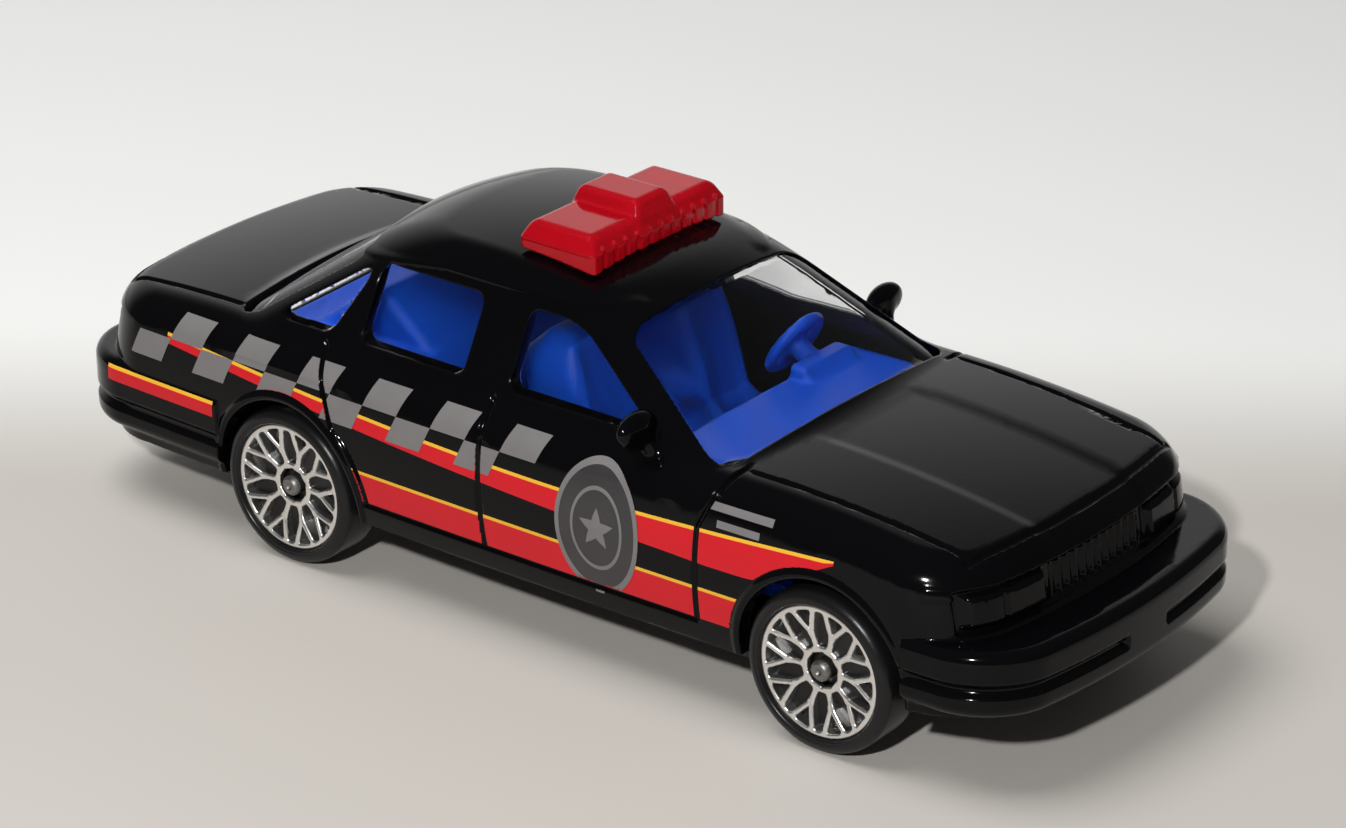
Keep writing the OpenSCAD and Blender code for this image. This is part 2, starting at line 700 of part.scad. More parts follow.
// The bench's back draws in above the shelf, where the cabin leans in
module rear_bench() {
    lean_x = bench_x + bench_l * (bench_h - shelf_h) / (bench_h - cushion_h - bench_t / 2);
    across_car(-bench_half, bench_half)
        polygon([
            [bench_x - shelf_l, floor_mid], [bench_x - shelf_l, shelf_h],
            [lean_x, shelf_h], [bench_x + bench_l, cushion_h + bench_t / 2],
            [bench_x + bench_l + bench_t / 2, cushion_h], [bench_x + bench_l + bench_t / 2, floor_mid]
        ]);
    across_car(-bench_top_half, bench_top_half)
        polygon([
            [bench_x - shelf_l, shelf_h - floor_t], [bench_x - shelf_l, shelf_h],
            [bench_x - bench_t, bench_h - bench_t / 2], [bench_x - bench_t / 2, bench_h],
            [bench_x, bench_h], [lean_x, shelf_h], [lean_x, shelf_h - floor_t]
        ]);
}
module dash() {
    across_car(-dash_half, dash_half)
        polygon([
            [dash_x, floor_mid], [dash_x, floor_h + dash_t], [dash_edge, dash_h - dash_t],
            [dash_edge, dash_h], [dash_x + dash_t / 2, dash_h], [dash_x + dash_t, dash_h - dash_t],
            [dash_x + dash_t, floor_mid]
        ]);
    across_car(seat_y - seat_w / 2, seat_y + seat_w / 2)
        polygon([
            [dash_edge, dash_h - dash_t / 2], [dash_edge, dash_h + hood_rise],
            [dash_edge + hood_l / 2, dash_h + hood_rise], [dash_edge + hood_l, dash_h - dash_t / 2]
        ]);
}
module steering_wheel() {
    bar = [steer_d - steer_t, 2 * steer_t, steer_t];
    translate([dash_edge - steer_reach, seat_y, dash_h + steer_rise])
        rotate([0, -steer_tilt, 0]) {
            rotate_extrude() translate([(steer_d - steer_t) / 2, 0]) circle(d = steer_t);
            cube(bar, center = true);
            translate([0, 0, -steer_stem]) cylinder(d = 2 * steer_t, h = steer_stem);
        }
}

module interior_tub() {
    color("royalblue")
        difference() {
            union() {
                translate([bench_x - shelf_l, -tub_half, floor_low])
                    cube([dash_x + dash_t - bench_x + shelf_l, 2 * tub_half, floor_t]);
                translate([rear_axle_x - block_l, -hall_half, floor_low])
                    cube([wheelbase + 2 * block_l, 2 * hall_half, floor_t]);
                for (x = [front_axle_x, rear_axle_x]) axle_blocks(x, axle_h + fit_gap, floor_h);
                for (x = [front_axle_x - foot_set, rear_axle_x + foot_set])
                    axle_blocks(x, base_top, floor_h);
                front_seats();
                rear_bench();
                dash();
                steering_wheel();
            }
            for (x = [front_axle_x, rear_axle_x], side = [-1, 1])
                translate([x - arch_r, side > 0 ? hall_half : -lot, 0])
                    cube([2 * arch_r, lot - hall_half, axle_h + arch_r]);
            for (x = [front_axle_x, rear_axle_x]) translate([x, 0, axle_h]) axle_bore();
        }
}

// The clear moulding lines the cabin, and its panes stand out into the openings
module window_unit() {
    inside = wall + fit_gap;
    color("lightcyan", 0.5)
        resize([0, 0, 0])
            difference() {
                intersection() {
                    union() {
                        cabin_form(inside, cabin_low);
                        intersection() {
                            cabin_form(pane_sink, cabin_low);
                            window_cuts(fit_gap);
                        }
                    }
                    translate([-lot, -lot, side_glass_low - glass_lip]) cube(2 * lot);
                }
                cabin_form(glass_in, cabin_low - glass_lip);
                peg_holes();
            }
}

// A block whose sides slope in by a bevel, more at the ends of the bar
module sloped_block(length, width, height, bevel) {
    top_l = length - 2 * bevel;
    top_w = width - 2 * bevel;
    hull() {
        translate([-length / 2, -width / 2, 0]) cube([length, width, bar_foot]);
        translate([-top_l / 2, -top_w / 2, 0]) cube([top_l, top_w, height]);
    }
}
module light_bar() {
    color("red", 0.8)
        union() {
            translate([bar_x, 0, bar_h]) {
                sloped_block(bar_l, bar_w, wing_h, bar_bevel);
                sloped_block(bar_l, middle_w, wing_h + middle_rise, bar_bevel);
            }
            peg_places() translate([0, 0, bar_h - peg_l]) cylinder(d = peg_d, h = peg_l + bar_foot);
        }
}

module axle(x) {
    half = track_w / 2 - dish_d + hub_rise;
    color("gray")
        translate([x, 0, axle_h]) rotate([90, 0, 0]) {
            cylinder(d = axle_d, h = 2 * half, center = true);
            for (side = [-1, 1])
                translate([0, 0, side * (half - head_t / 2)])
                    cylinder(d = head_d, h = head_t, center = true);
        }
}

// A wheel stands on its inner face here, with its outer face up
module wheel_form() {
    round_r = tyre_d / 2 - tyre_round;
    hub_top = tyre_w - dish_d + hub_rise - head_t - spin_gap;
    rotate_extrude($fn = 96)
        polygon([
            [axle_d / 2 + spin_gap, 0],
            for (a = [-90 : 22.5 : 0]) [round_r + tyre_round * cos(a), tyre_round + tyre_round * sin(a)],
            for (a = [0 : 22.5 : 90])
                [round_r + tyre_round * cos(a), tyre_w - tyre_round + tyre_round * sin(a)],
            [lace_d / 2 + spin_gap, tyre_w], [lace_d / 2 + spin_gap, tyre_w - dish_d],
            [head_d / 2 + spin_gap, tyre_w - dish_d], [head_d / 2 + spin_gap, hub_top],
            [axle_d / 2 + spin_gap, hub_top]
        ]);
}
// Ten spokes, each forked towards its neighbours, between a hub ring and a rim ring
module lace_form() {
    rim_in = lace_d / 2 - lace_rim;
    hub_out = hub_d / 2 + lace_bar;
    fork_turn = fork_share * 180 / spoke_n;
    linear_extrude(lace_t) {
        difference() {
            circle(d = lace_d, $fn = 96);
            circle(r = rim_in, $fn = 96);
        }
        difference() {
            union() {
                circle(r = hub_out);
                for (k = [0 : spoke_n - 1]) rotate(360 / spoke_n * k) {
                    translate([0, -lace_bar / 2]) square([fork_r, lace_bar]);
                    for (side = [-1, 1]) {
                        tip = (rim_in + lace_bar) * [cos(fork_turn), side * sin(fork_turn)];
                        out = lace_bar / 2 * [sin(fork_a(tip)), -cos(fork_a(tip))];
                        polygon([[fork_r, 0] - out, [fork_r, 0] + out, tip + out, tip - out]);
                    }
                }
            }
            circle(d = hub_d);
            difference() {
                circle(r = lace_d);
                circle(r = rim_in + lace_rim / 2, $fn = 96);
            }
        }
    }
}
function fork_a(tip) = atan2(tip[1], tip[0] - fork_r);

module at_wheel(x, side) {
    translate([x, side * wheel_in, axle_h]) rotate([-90 * side, 0, 0]) children();
}
module wheel(x, side) {
    color("black") at_wheel(x, side) wheel_form();
}
module lace(x, side) {
    color("silver") at_wheel(x, side) translate([0, 0, tyre_w - dish_d]) lace_form();
}

body_shell();
chassis_base();
interior_tub();
window_unit();
light_bar();
base_rivets();
axle(front_axle_x);  // front_axle
axle(rear_axle_x);  // rear_axle
wheel(front_axle_x, 1);  // front_left_wheel
wheel(front_axle_x, -1);  // front_right_wheel
wheel(rear_axle_x, 1);  // rear_left_wheel
wheel(rear_axle_x, -1);  // rear_right_wheel
lace(front_axle_x, 1);  // front_left_lace
lace(front_axle_x, -1);  // front_right_lace
lace(rear_axle_x, 1);  // rear_left_lace
lace(rear_axle_x, -1);  // rear_right_lace
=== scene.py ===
"""Looks of a toy police car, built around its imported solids.

Lengths here are millimetres in the solids' own frame: X forward, Y to the car's left, Z up from the ground.
Round-edged pieces are distance fields: negative inside, positive outside, zero on the surface.
"""
import math

import bpy
import numpy as np
import openvdb
from mathutils import Matrix, Vector


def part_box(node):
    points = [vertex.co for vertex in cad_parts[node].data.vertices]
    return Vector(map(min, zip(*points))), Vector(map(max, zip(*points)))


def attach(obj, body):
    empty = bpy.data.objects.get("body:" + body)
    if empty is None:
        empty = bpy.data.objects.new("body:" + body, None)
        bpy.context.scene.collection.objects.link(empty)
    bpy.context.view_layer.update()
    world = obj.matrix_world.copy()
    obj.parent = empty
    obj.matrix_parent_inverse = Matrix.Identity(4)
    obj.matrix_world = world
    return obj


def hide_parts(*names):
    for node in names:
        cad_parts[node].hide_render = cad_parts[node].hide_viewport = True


MM = 0.001
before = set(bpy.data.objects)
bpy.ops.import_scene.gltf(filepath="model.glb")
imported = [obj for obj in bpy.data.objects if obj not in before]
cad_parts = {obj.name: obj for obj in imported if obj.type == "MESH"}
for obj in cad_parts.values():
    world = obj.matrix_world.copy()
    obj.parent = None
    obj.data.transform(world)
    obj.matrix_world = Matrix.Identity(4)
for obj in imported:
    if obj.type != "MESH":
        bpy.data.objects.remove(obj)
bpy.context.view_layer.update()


def node_box(name):
    """Lowest and highest corner of a solid, in millimetres."""
    low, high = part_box(name)
    return np.array(low) / MM, np.array(high) / MM


# Places taken from the solids
shell_low, shell_high = node_box("body_shell")
front_x, rear_x = shell_high[0], shell_low[0]
sill_h, roof_h = shell_low[2], shell_high[2]
front_axle_x, _, axle_h = sum(node_box("front_axle")) / 2
rear_axle_x = (sum(node_box("rear_axle")) / 2)[0]
wheel_low, wheel_high = node_box("front_left_wheel")
wheel_in, wheel_out = wheel_low[1], wheel_high[1]
tyre_d = wheel_high[2] - wheel_low[2]
tyre_w = wheel_out - wheel_in
lace_low, lace_high = node_box("front_left_lace")
lace_d = lace_high[2] - lace_low[2]
bar_low, bar_high = node_box("light_bar")
tub_low, tub_high = node_box("interior_tub")
axles = (("front", front_axle_x), ("rear", rear_axle_x))
flanks = (("left", 1), ("right", -1))

# Lower body
body_w = 28
waist_h = 15.4
wall = 1.1
side_h = 9.5
sill_tuck = 0.6
waist_tuck = 1.3
end_taper = 0.9
corner_r = 4.2
nose_bow = 1.9
tail_bow = 1.4
nose_lean = 1.6
tail_lean = 1.1
hood_drop = 2.5
boot_drop = 1
deck_crown = 0.6
shoulder_r = 1.7
panel_w = 9.2
panel_sink = 0.1
panel_edge = 1.1
panel_fade = 2

# Bumpers
front_bumper_d = 2.3
rear_bumper_d = 1.3
bumper_low = 5.1
front_bumper_top = 9.3
rear_bumper_top = 9.9
bumper_stand = 0.18
bumper_round = 0.8
groove_h = 6.9
groove_w = 0.55
groove_d = 0.45
plate_half = 1.9
plate_edge = 0.3
bumper_fillet = 0.15

# Cabin
windscreen_set = 7.4
rear_window_set = 7.2
windscreen_rake = math.radians(31)
rear_window_rake = math.radians(33.5)
cabin_w = 23.7
cabin_lean = math.radians(28)
cabin_corner_r = 2.4
screen_bow = 2.2
bow_limit = 1.2
roof_fall = 1
roof_set = 11.5
roof_crown = 0.6
roof_edge_r = 1.3
cowl_x = front_axle_x - windscreen_set
boot_x = rear_axle_x - rear_window_set
cabin_low = waist_h - 2
foot_fillet = 0.45

# Windows
glass_low = waist_h + 0.35
side_glass_top = roof_h - 2.6
screen_top = roof_h - 1.5
screen_frame = 1.1
door_pillar_x = cowl_x - 19.5
door_pillar_w = 3.7
rear_pillar_w = 1.9
front_glass_set = 5.6
rear_glass_set = 4.1
quarter_x = boot_x + 10.2
quarter_set = 0.7
quarter_lean = 0.5
quarter_r = 1.2
glass_t = 0.7
glass_gap = 0.12
glass_lip = 1.7
pane_sink = 0.22
pane_grow = 0.06
pane_edge_r = 0.12
window_r = 0.75
window_edge_r = 0.15
screen_foot_r = 0.8
screen_head_r = 1.2
screen_reach = 3.3 * wall
side_glass_in = 5

# Mirrors
mirror_x = cowl_x - 6.9
mirror_y = 12.48
mirror_z = waist_h + 1.1
mirror_size = np.array([1.5, 3.4, 2.2])
mirror_arm = 0.5
mirror_foot = (mirror_x + 1.1, mirror_y - 1, waist_h - 1)
mirror_fillet = 0.4
mirror_join = 0.25

# Arches
arch_r = tyre_d / 2 + 0.65
arch_depth = wheel_in - 0.5
arch_edge_r = 0.1
lip_w = 0.8
lip_h = 0.16
lip_lap = 0.1
lip_in = 10

coarse = 1.0
body_step = 0.12 * coarse
glass_step = 0.16 * coarse
tub_step = 0.22 * coarse
lace_step = 0.075 * coarse
bar_step = 0.09 * coarse
film_column = 0.05 * coarse
film_row = 0.06 * coarse
fine_adapt = 0.004
plain_adapt = 0.02
band_n = 3
least_slope = 0.2
tiny = 1e-9


def rounded(a, b, r):
    """What lies in both a and b, with the edge between them rounded."""
    return np.minimum(np.maximum(a, b), -r) + np.hypot(np.maximum(a + r, 0), np.maximum(b + r, 0))


def joined(a, b, r):
    """What lies in a or b, with the corner between them filled."""
    return -rounded(-a, -b, r)


def cut(a, b, r):
    """What lies in a and outside b, with the cut's edge rounded."""
    return rounded(a, -b, r)


def smooth(t):
    """Goes from 0 to 1 as t does, with level ends."""
    t = np.clip(t, 0, 1)
    return t * t * (3 - 2 * t)


def ridge(line, half):
    """A rounded hump of height 1 along the places where line is 0."""
    return (1 - np.clip(line / half, -1, 1) ** 2) ** 2


def span(t, low, high, edge):
    """1 between low and high, fading to 0 over an edge."""
    return smooth((t - low) / edge + 0.5) * smooth((high - t) / edge + 0.5)


def box_field(x, y, z, middle, size, r):
    """A block with rounded edges."""
    qx = np.abs(x - middle[0]) - size[0] / 2 + r
    qy = np.abs(y - middle[1]) - size[1] / 2 + r
    qz = np.abs(z - middle[2]) - size[2] / 2 + r
    outside = np.sqrt(np.maximum(qx, 0) ** 2 + np.maximum(qy, 0) ** 2 + np.maximum(qz, 0) ** 2)
    return outside + np.minimum(np.maximum(qx, np.maximum(qy, qz)), 0) - r


def egg_field(x, y, z, middle, size):
    """An egg-shaped solid."""
    p = [(x - middle[0]) / size[0] * 2, (y - middle[1]) / size[1] * 2, (z - middle[2]) / size[2] * 2]
    k = np.sqrt(p[0] ** 2 + p[1] ** 2 + p[2] ** 2)
    g = np.sqrt((2 * p[0] / size[0]) ** 2 + (2 * p[1] / size[1]) ** 2 + (2 * p[2] / size[2]) ** 2)
    return k * (k - 1) / np.maximum(g, tiny)


def rod_field(x, y, z, start, end, r):
    """A round rod with round ends."""
    along = np.array(end) - np.array(start)
    px, py, pz = x - start[0], y - start[1], z - start[2]
    t = np.clip((px * along[0] + py * along[1] + pz * along[2]) / (along @ along), 0, 1)
    return np.sqrt((px - t * along[0]) ** 2 + (py - t * along[1]) ** 2 + (pz - t * along[2]) ** 2) - r


# Form of the lower body
def flank(z):
    low = np.maximum(side_h - z, 0) / (side_h - sill_h)
    high = np.maximum(z - side_h, 0) / (waist_h - side_h)
    return body_w / 2 - sill_tuck * low ** 2 - waist_tuck * high ** 2


def narrowing(x):
    return 1 - end_taper / (body_w / 2) * (x / front_x) ** 2


def lean_share(z):
    return np.clip((z - sill_h) / (waist_h - sill_h), 0, 1)


def deck(x, y):
    hood = np.maximum(x - cowl_x, 0) / (front_x - cowl_x)
    boot = np.maximum(boot_x - x, 0) / (boot_x - rear_x)
    across = smooth((panel_w / 2 - np.abs(y)) / panel_edge + 0.5)
    panel = panel_sink * across * smooth((x - cowl_x) / panel_fade)
    crown = deck_crown * (2 * y / body_w) ** 2
    return waist_h - hood_drop * hood ** 2 - boot_drop * boot ** 2 - crown - panel


def nose_field(x, y, z):
    bow = nose_bow * (2 * y / body_w) ** 2
    return x - (front_x - front_bumper_d - nose_lean * lean_share(z) - bow)


def tail_field(x, y, z):
    bow = tail_bow * (2 * y / body_w) ** 2
    return rear_x + rear_bumper_d + tail_lean * lean_share(z) + bow - x


def lower_field(x, y, z):
    side = np.abs(y) - flank(z) * narrowing(x)
    plan = rounded(rounded(side, nose_field(x, y, z), corner_r), tail_field(x, y, z), corner_r)
    return rounded(plan, z - deck(x, y), shoulder_r)


# Form of the cabin
def cabin_half(z):
    return cabin_w / 2 - (z - waist_h) * math.tan(cabin_lean)


def windscreen(z):
    return cowl_x - (z - waist_h) / math.tan(windscreen_rake)


def rear_window(z):
    return boot_x + (z - waist_h) / math.tan(rear_window_rake)


def roof(x, y):
    along = (x - windscreen(roof_h) + roof_set) / roof_set
    return roof_h - roof_fall * along ** 2 - roof_crown * (y / cabin_half(roof_h)) ** 2


def cabin_field(x, y, z):
    half = cabin_half(z)
    bow = screen_bow * np.minimum(y / half, bow_limit) ** 2
    side = (np.abs(y) - half) * math.cos(cabin_lean)
    front = (x - windscreen(z) + bow) * math.sin(windscreen_rake)
    rear = (rear_window(z) + bow - x) * math.sin(rear_window_rake)
    plan = rounded(rounded(side, front, cabin_corner_r), rear, cabin_corner_r)
    return rounded(plan, z - roof(x, y), roof_edge_r)


def plain_body(x, y, z):
    """The lower body and the cabin with nothing cut or raised on them."""
    cabin = np.maximum(cabin_field(x, y, z), cabin_low - z)
    return joined(lower_field(x, y, z), cabin, foot_fillet)


# Form of the bumpers
def bumper_inset(y, z):
    """How far a bumper's face lies behind its outermost line, at each height."""
    return groove_d * ridge(z - groove_h, groove_w) * smooth((np.abs(y) - plate_half) / plate_edge)


def bumper_field(x, y, z):
    half = body_w / 2 + bumper_stand
    bow = (y / half) ** 2
    side = np.abs(y) - half * narrowing(x)
    nose = x - (front_x - nose_bow * bow)
    tail = rear_x + tail_bow * bow - x
    plan = rounded(rounded(side, nose, corner_r), tail, corner_r)
    front_end = front_axle_x + arch_r - x
    rear_end = x - rear_axle_x + arch_r
    bands = []
    for top, end in ((front_bumper_top, front_end), (rear_bumper_top, rear_end)):
        height = np.maximum(bumper_low - z, z - top)
        band = rounded(plan + bumper_inset(y, z), height, bumper_round)
        bands.append(np.maximum(band, end))
    return np.minimum(*bands)


# Raised and sunk detail of the casting: heights above the plain surface
line_w = 0.26
line_d = 0.24
line_fade = 0.4
door_front_x = 15.3
door_front_lean = 0.42
door_bend_h = 12
door_middle_x = door_pillar_x + 1.3
door_middle_lean = 0.06
door_middle_h = 10
door_rear_x = rear_axle_x + 4.15
door_rear_lean = 0.41
door_rear_h = 10.6
door_rear_fade = 0.6
door_arch_r = arch_r + 1
door_low = 5.9
sill_line_start = rear_axle_x + arch_r + 0.6
hood_edge_y = 10.6
hood_taper = 0.03
hood_line_end = 32.4
boot_edge_y = 10.2
lid_line_end = boot_x + 2
lid_set = 0.9
flank_in = 9.5
flank_top = waist_h + 0.2
detail_fade = 0.8
deck_fade = 0.5
boot_lap = 1.2
marker_x = 31.9
marker_half = 0.9
marker_low, marker_high = 11.6, 12.4
marker_edge = 0.4
marker_h = 0.12
gutter_set = 0.85
gutter_h = 0.12
gutter_w = 0.3
gutter_rear, gutter_front = -17, 13
gutter_rear_bend, gutter_front_bend = -8, 6
gutter_rear_fall, gutter_front_fall = 0.12, 0.16
gutter_fade = 2
gutter_in = 5

# Lamps and slots in the nose and the tail
nose_lamps = (9.5, 12.1)
tail_lamps = (10.2, 12.9)
nose_start, tail_start = 31, -33
end_fade = 1.5
lamp_sink = 0.55
lamp_half = 12
lamp_edge = 0.35
lens_in, lens_out = 5.4, 11.2
lens_rise = 0.5
lens_edge = 0.5
split_y = 8.9
split_w = 0.25
split_d = 0.2
slot_d = 0.25
slot_pitch = 0.8
slot_half = 4.6
slot_edge = 0.3


def side_lines(x, z):
    """Shut lines of the doors, on both flanks."""
    front = ridge(x - door_front_x - door_front_lean * np.maximum(z - door_bend_h, 0), line_w)
    middle = ridge(x - door_middle_x + door_middle_lean * (z - door_middle_h), line_w)
    rear = ridge(x - door_rear_x + door_rear_lean * (z - door_rear_h), line_w)
    rear = rear * smooth((z - door_rear_h) / door_rear_fade + 1)
    around = ridge(np.hypot(x - rear_axle_x, z - axle_h) - door_arch_r, line_w)
    around = around * smooth((door_rear_h - z) / door_rear_fade) * (x > rear_axle_x)
    upright = np.maximum(np.maximum(front, middle), np.maximum(rear, around))
    sill = ridge(z - door_low, line_w) * span(x, sill_line_start, door_front_x, line_fade)
    return np.maximum(upright * smooth(2 * (z - door_low) / line_fade + 0.5), sill)


def deck_lines(x, y):
    """Shut lines of the hood and the boot lid, seen from above."""
    ya = np.abs(y)
    bow = (2 * y / body_w) ** 2
    hood_front = front_x - front_bumper_d - nose_lean - nose_bow * bow - lid_set
    hood_side = ridge(ya - hood_edge_y + hood_taper * (x - cowl_x), line_w)
    hood_side = hood_side * span(x, cowl_x, hood_line_end, line_fade)
    hood_end = ridge(x - hood_front, line_w) * smooth((hood_edge_y - ya) / line_fade + 1)
    lid_end = rear_x + rear_bumper_d + tail_lean + tail_bow * bow + lid_set
    lid_side = ridge(ya - boot_edge_y, line_w) * span(x, lid_end, lid_line_end, line_fade)
    lid_rear = ridge(x - lid_end, line_w) * smooth((boot_edge_y - ya) / line_fade + 0.5)
    return np.maximum(np.maximum(hood_side, hood_end), np.maximum(lid_side, lid_rear))


def lamp_relief(y, z, low, high):
    """A sunk panel with a lamp on each side and upright slots in its middle."""
    ya = np.abs(y)
    in_lens = span(z, low + lamp_edge, high - lamp_edge, lens_edge)
    panel = -lamp_sink * span(z, low, high, lamp_edge) * smooth((lamp_half - ya) / lens_edge)
    lens = lens_rise * in_lens * span(ya, lens_in, lens_out, lens_edge)
    split = -split_d * ridge(ya - split_y, split_w) * in_lens
    wave = 0.5 + 0.5 * np.cos(y * 2 * math.pi / slot_pitch)
    slots = -slot_d * wave * smooth((slot_half - ya) / slot_edge + 0.5)
    slots = slots * span(z, low + slot_edge, high - slot_edge, slot_edge)
    return panel + lens + split + slots


def relief(x, y, z):
    """Height of the cast detail above the plain body, at each point near its surface."""
    ya = np.abs(y)
    on_side = smooth(ya - flank_in) * smooth((flank_top - z) / detail_fade)
    height = -line_d * side_lines(x, z) * on_side
    on_deck = smooth((z - deck(x, y) + detail_fade) / deck_fade)
    outside = np.maximum(smooth((x - cowl_x) / detail_fade), smooth((boot_x + boot_lap - x) / detail_fade))
    height -= line_d * deck_lines(x, y) * on_deck * outside
    height += lamp_relief(y, z, *nose_lamps) * smooth((x - nose_start) / end_fade)
    height += lamp_relief(y, z, *tail_lamps) * smooth((tail_start - x) / end_fade)
    for x0 in (front_axle_x, rear_axle_x):
        ring = np.hypot(x - x0, z - axle_h) - arch_r
        height += lip_h * ridge(ring - lip_w / 2 + lip_lap, lip_w / 2) * smooth(ya - lip_in)
    marker = span(x, marker_x - marker_half, marker_x + marker_half, marker_edge)
    height += marker_h * marker * span(z, marker_low, marker_high, marker_edge) * on_side
    fall = gutter_front_fall * np.maximum(x - gutter_front_bend, 0)
    fall = fall + gutter_rear_fall * np.maximum(gutter_rear_bend - x, 0)
    gutter = ridge(z - side_glass_top - gutter_set + fall, gutter_w) * smooth(ya - gutter_in)
    height += gutter_h * gutter * span(x, gutter_rear, gutter_front, gutter_fade)
    return height


# Windows, each as an outline that cuts through the cabin
def screen_side(y, z, grow):
    return (np.abs(y) - cabin_half(z) + screen_frame - grow) * math.cos(cabin_lean)


def window_field(x, y, z, grow):
    """Where the windows open, with outlines grown by an amount."""
    ends = []
    for foot, reach, rake in (
            (windscreen(glass_low) - x, windscreen(z) - x, windscreen_rake),
            (x - rear_window(glass_low), x - rear_window(z), rear_window_rake)):
        along = foot * math.cos(rake) + (z - glass_low) * math.sin(rake)
        length = (screen_top - glass_low) / math.sin(rake)
        outline = rounded(screen_side(y, z, grow), -along - grow, screen_foot_r)
        outline = rounded(outline, along - length - grow, screen_head_r)
        near = np.abs(reach) * math.sin(rake) - screen_reach
        ends.append(np.maximum(outline, near))
    low, high = glass_low - z - grow, z - side_glass_top - grow
    half = door_pillar_w / 2
    front_edge = (x - windscreen(z) + front_glass_set) * math.sin(windscreen_rake) - grow
    door = rounded(front_edge, door_pillar_x + half - x - grow, window_r)
    door = rounded(rounded(door, low, window_r), high, window_r)
    rear_door = np.maximum(x - door_pillar_x + half - grow, quarter_x + rear_pillar_w - x - grow)
    rear_door = rounded(rounded(rear_door, low, window_r), high, window_r)
    rear_edge = (rear_window(z) + rear_glass_set - x) * math.sin(rear_window_rake) - grow
    quarter_edge = x - quarter_x + quarter_set - quarter_lean * (z - glass_low) - grow
    quarter = np.maximum(rounded(rounded(rear_edge, quarter_edge, quarter_r), low, window_r), high)
    sides = np.minimum(door, np.minimum(rear_door, quarter))
    on_side = np.maximum(sides, side_glass_in - np.abs(y))
    return np.minimum(on_side, np.minimum(*ends))


def mirror_field(x, y, z):
    ya = np.abs(y)
    middle = (mirror_x, mirror_y, mirror_z)
    head = egg_field(x, ya, z, middle, mirror_size)
    arm = rod_field(x, ya, z, middle, mirror_foot, mirror_arm)
    return joined(head, arm, mirror_fillet)


def outer_field(x, y, z):
    """The casting as if it were solid, without its mirrors."""
    return joined(plain_body(x, y, z) - relief(x, y, z), bumper_field(x, y, z), bumper_fillet)


def body_field(x, y, z):
    """The whole casting: a hollow shell with its bumpers, mirrors, arches and window openings."""
    plain = plain_body(x, y, z)
    outer = joined(outer_field(x, y, z), mirror_field(x, y, z), mirror_join)
    shell = np.maximum(np.maximum(outer, -(plain + wall)), sill_h - z)
    for x0 in (front_axle_x, rear_axle_x):
        arch = np.maximum(np.hypot(x - x0, z - axle_h) - arch_r, arch_depth - np.abs(y))
        shell = cut(shell, arch, arch_edge_r)
    return cut(shell, window_field(x, y, z, 0), window_edge_r)


def glass_field(x, y, z):
    """The clear moulding: a lining inside the cabin, with panes that stand out into the openings."""
    cabin = cabin_field(x, y, z)
    lining = cabin + wall + glass_gap
    panes = np.maximum(cabin + pane_sink, window_field(x, y, z, pane_grow))
    outer = np.minimum(lining, rounded(panes, cabin + pane_sink, pane_edge_r))
    hollow = np.maximum(outer, -(lining + glass_t))
    return np.maximum(hollow, glass_low - glass_lip - z)


# Interior: floor, seats, bench, dash and steering wheel
floor_h = 7.6
floor_t = 0.9
floor_mid = floor_h - floor_t / 2
floor_lap = 2
floor_r = 0.2
tunnel_lap = 6
tub_fillet = 0.3
seat_x = cowl_x - 17.2
seat_y = 5.2
seat_w = 5
seat_h = roof_h - 5.2
seat_l = 5.5
seat_base_h = 9.4
seat_back_t = 2.6
seat_bend_x = seat_x + 1.4 * seat_back_t
seat_hollow = 0.3
seat_hollow_half = 1.9
seat_hollow_edge = 1.2
seat_head_h = 3
seat_head_taper = 0.12
seat_corner_r = 0.5
seat_edge_r = 0.9
cushion_h = 11.6
bench_x = boot_x + 10.8
bench_h = roof_h - 5.4
bench_half = 10.7
bench_back = 5.4
bench_top_half = 7.7
bench_t = 3
bench_l = 6
bench_corner_r = 0.3
bench_edge_r = 0.5
bench_top_r = 0.8
bench_fillet = 0.4
seam_d = 0.2
seam_w = 0.3
shelf_l = 9.2
shelf_h = waist_h - wall
shelf_half = 10.2
glass_in = wall + glass_gap + glass_t
dash_h = waist_h - 1.4
dash_t = 1.2
dash_gap = 0.2
dash_x = windscreen(dash_h) - glass_in / math.sin(windscreen_rake) - dash_t / 2 - dash_gap
dash_edge = dash_x - 5.2
dash_half = 9.2
dash_taper = 0.5
dash_corner_r = 0.25
dash_edge_r = 0.4
cover_rise = 0.8
cover_l = 2.4
cover_corner_r = 0.2
cover_edge_r = 0.5
steer_d = 4.6
steer_t = 0.7
steer_at = np.array([dash_x - 6.6, seat_y, dash_h + 1.1])
steer_lean = math.radians(60)
steer_bar_w = 1.2
steer_bar_t = 0.6
steer_fillet = 0.25
stem_l = 4.2
stem_r = 0.65


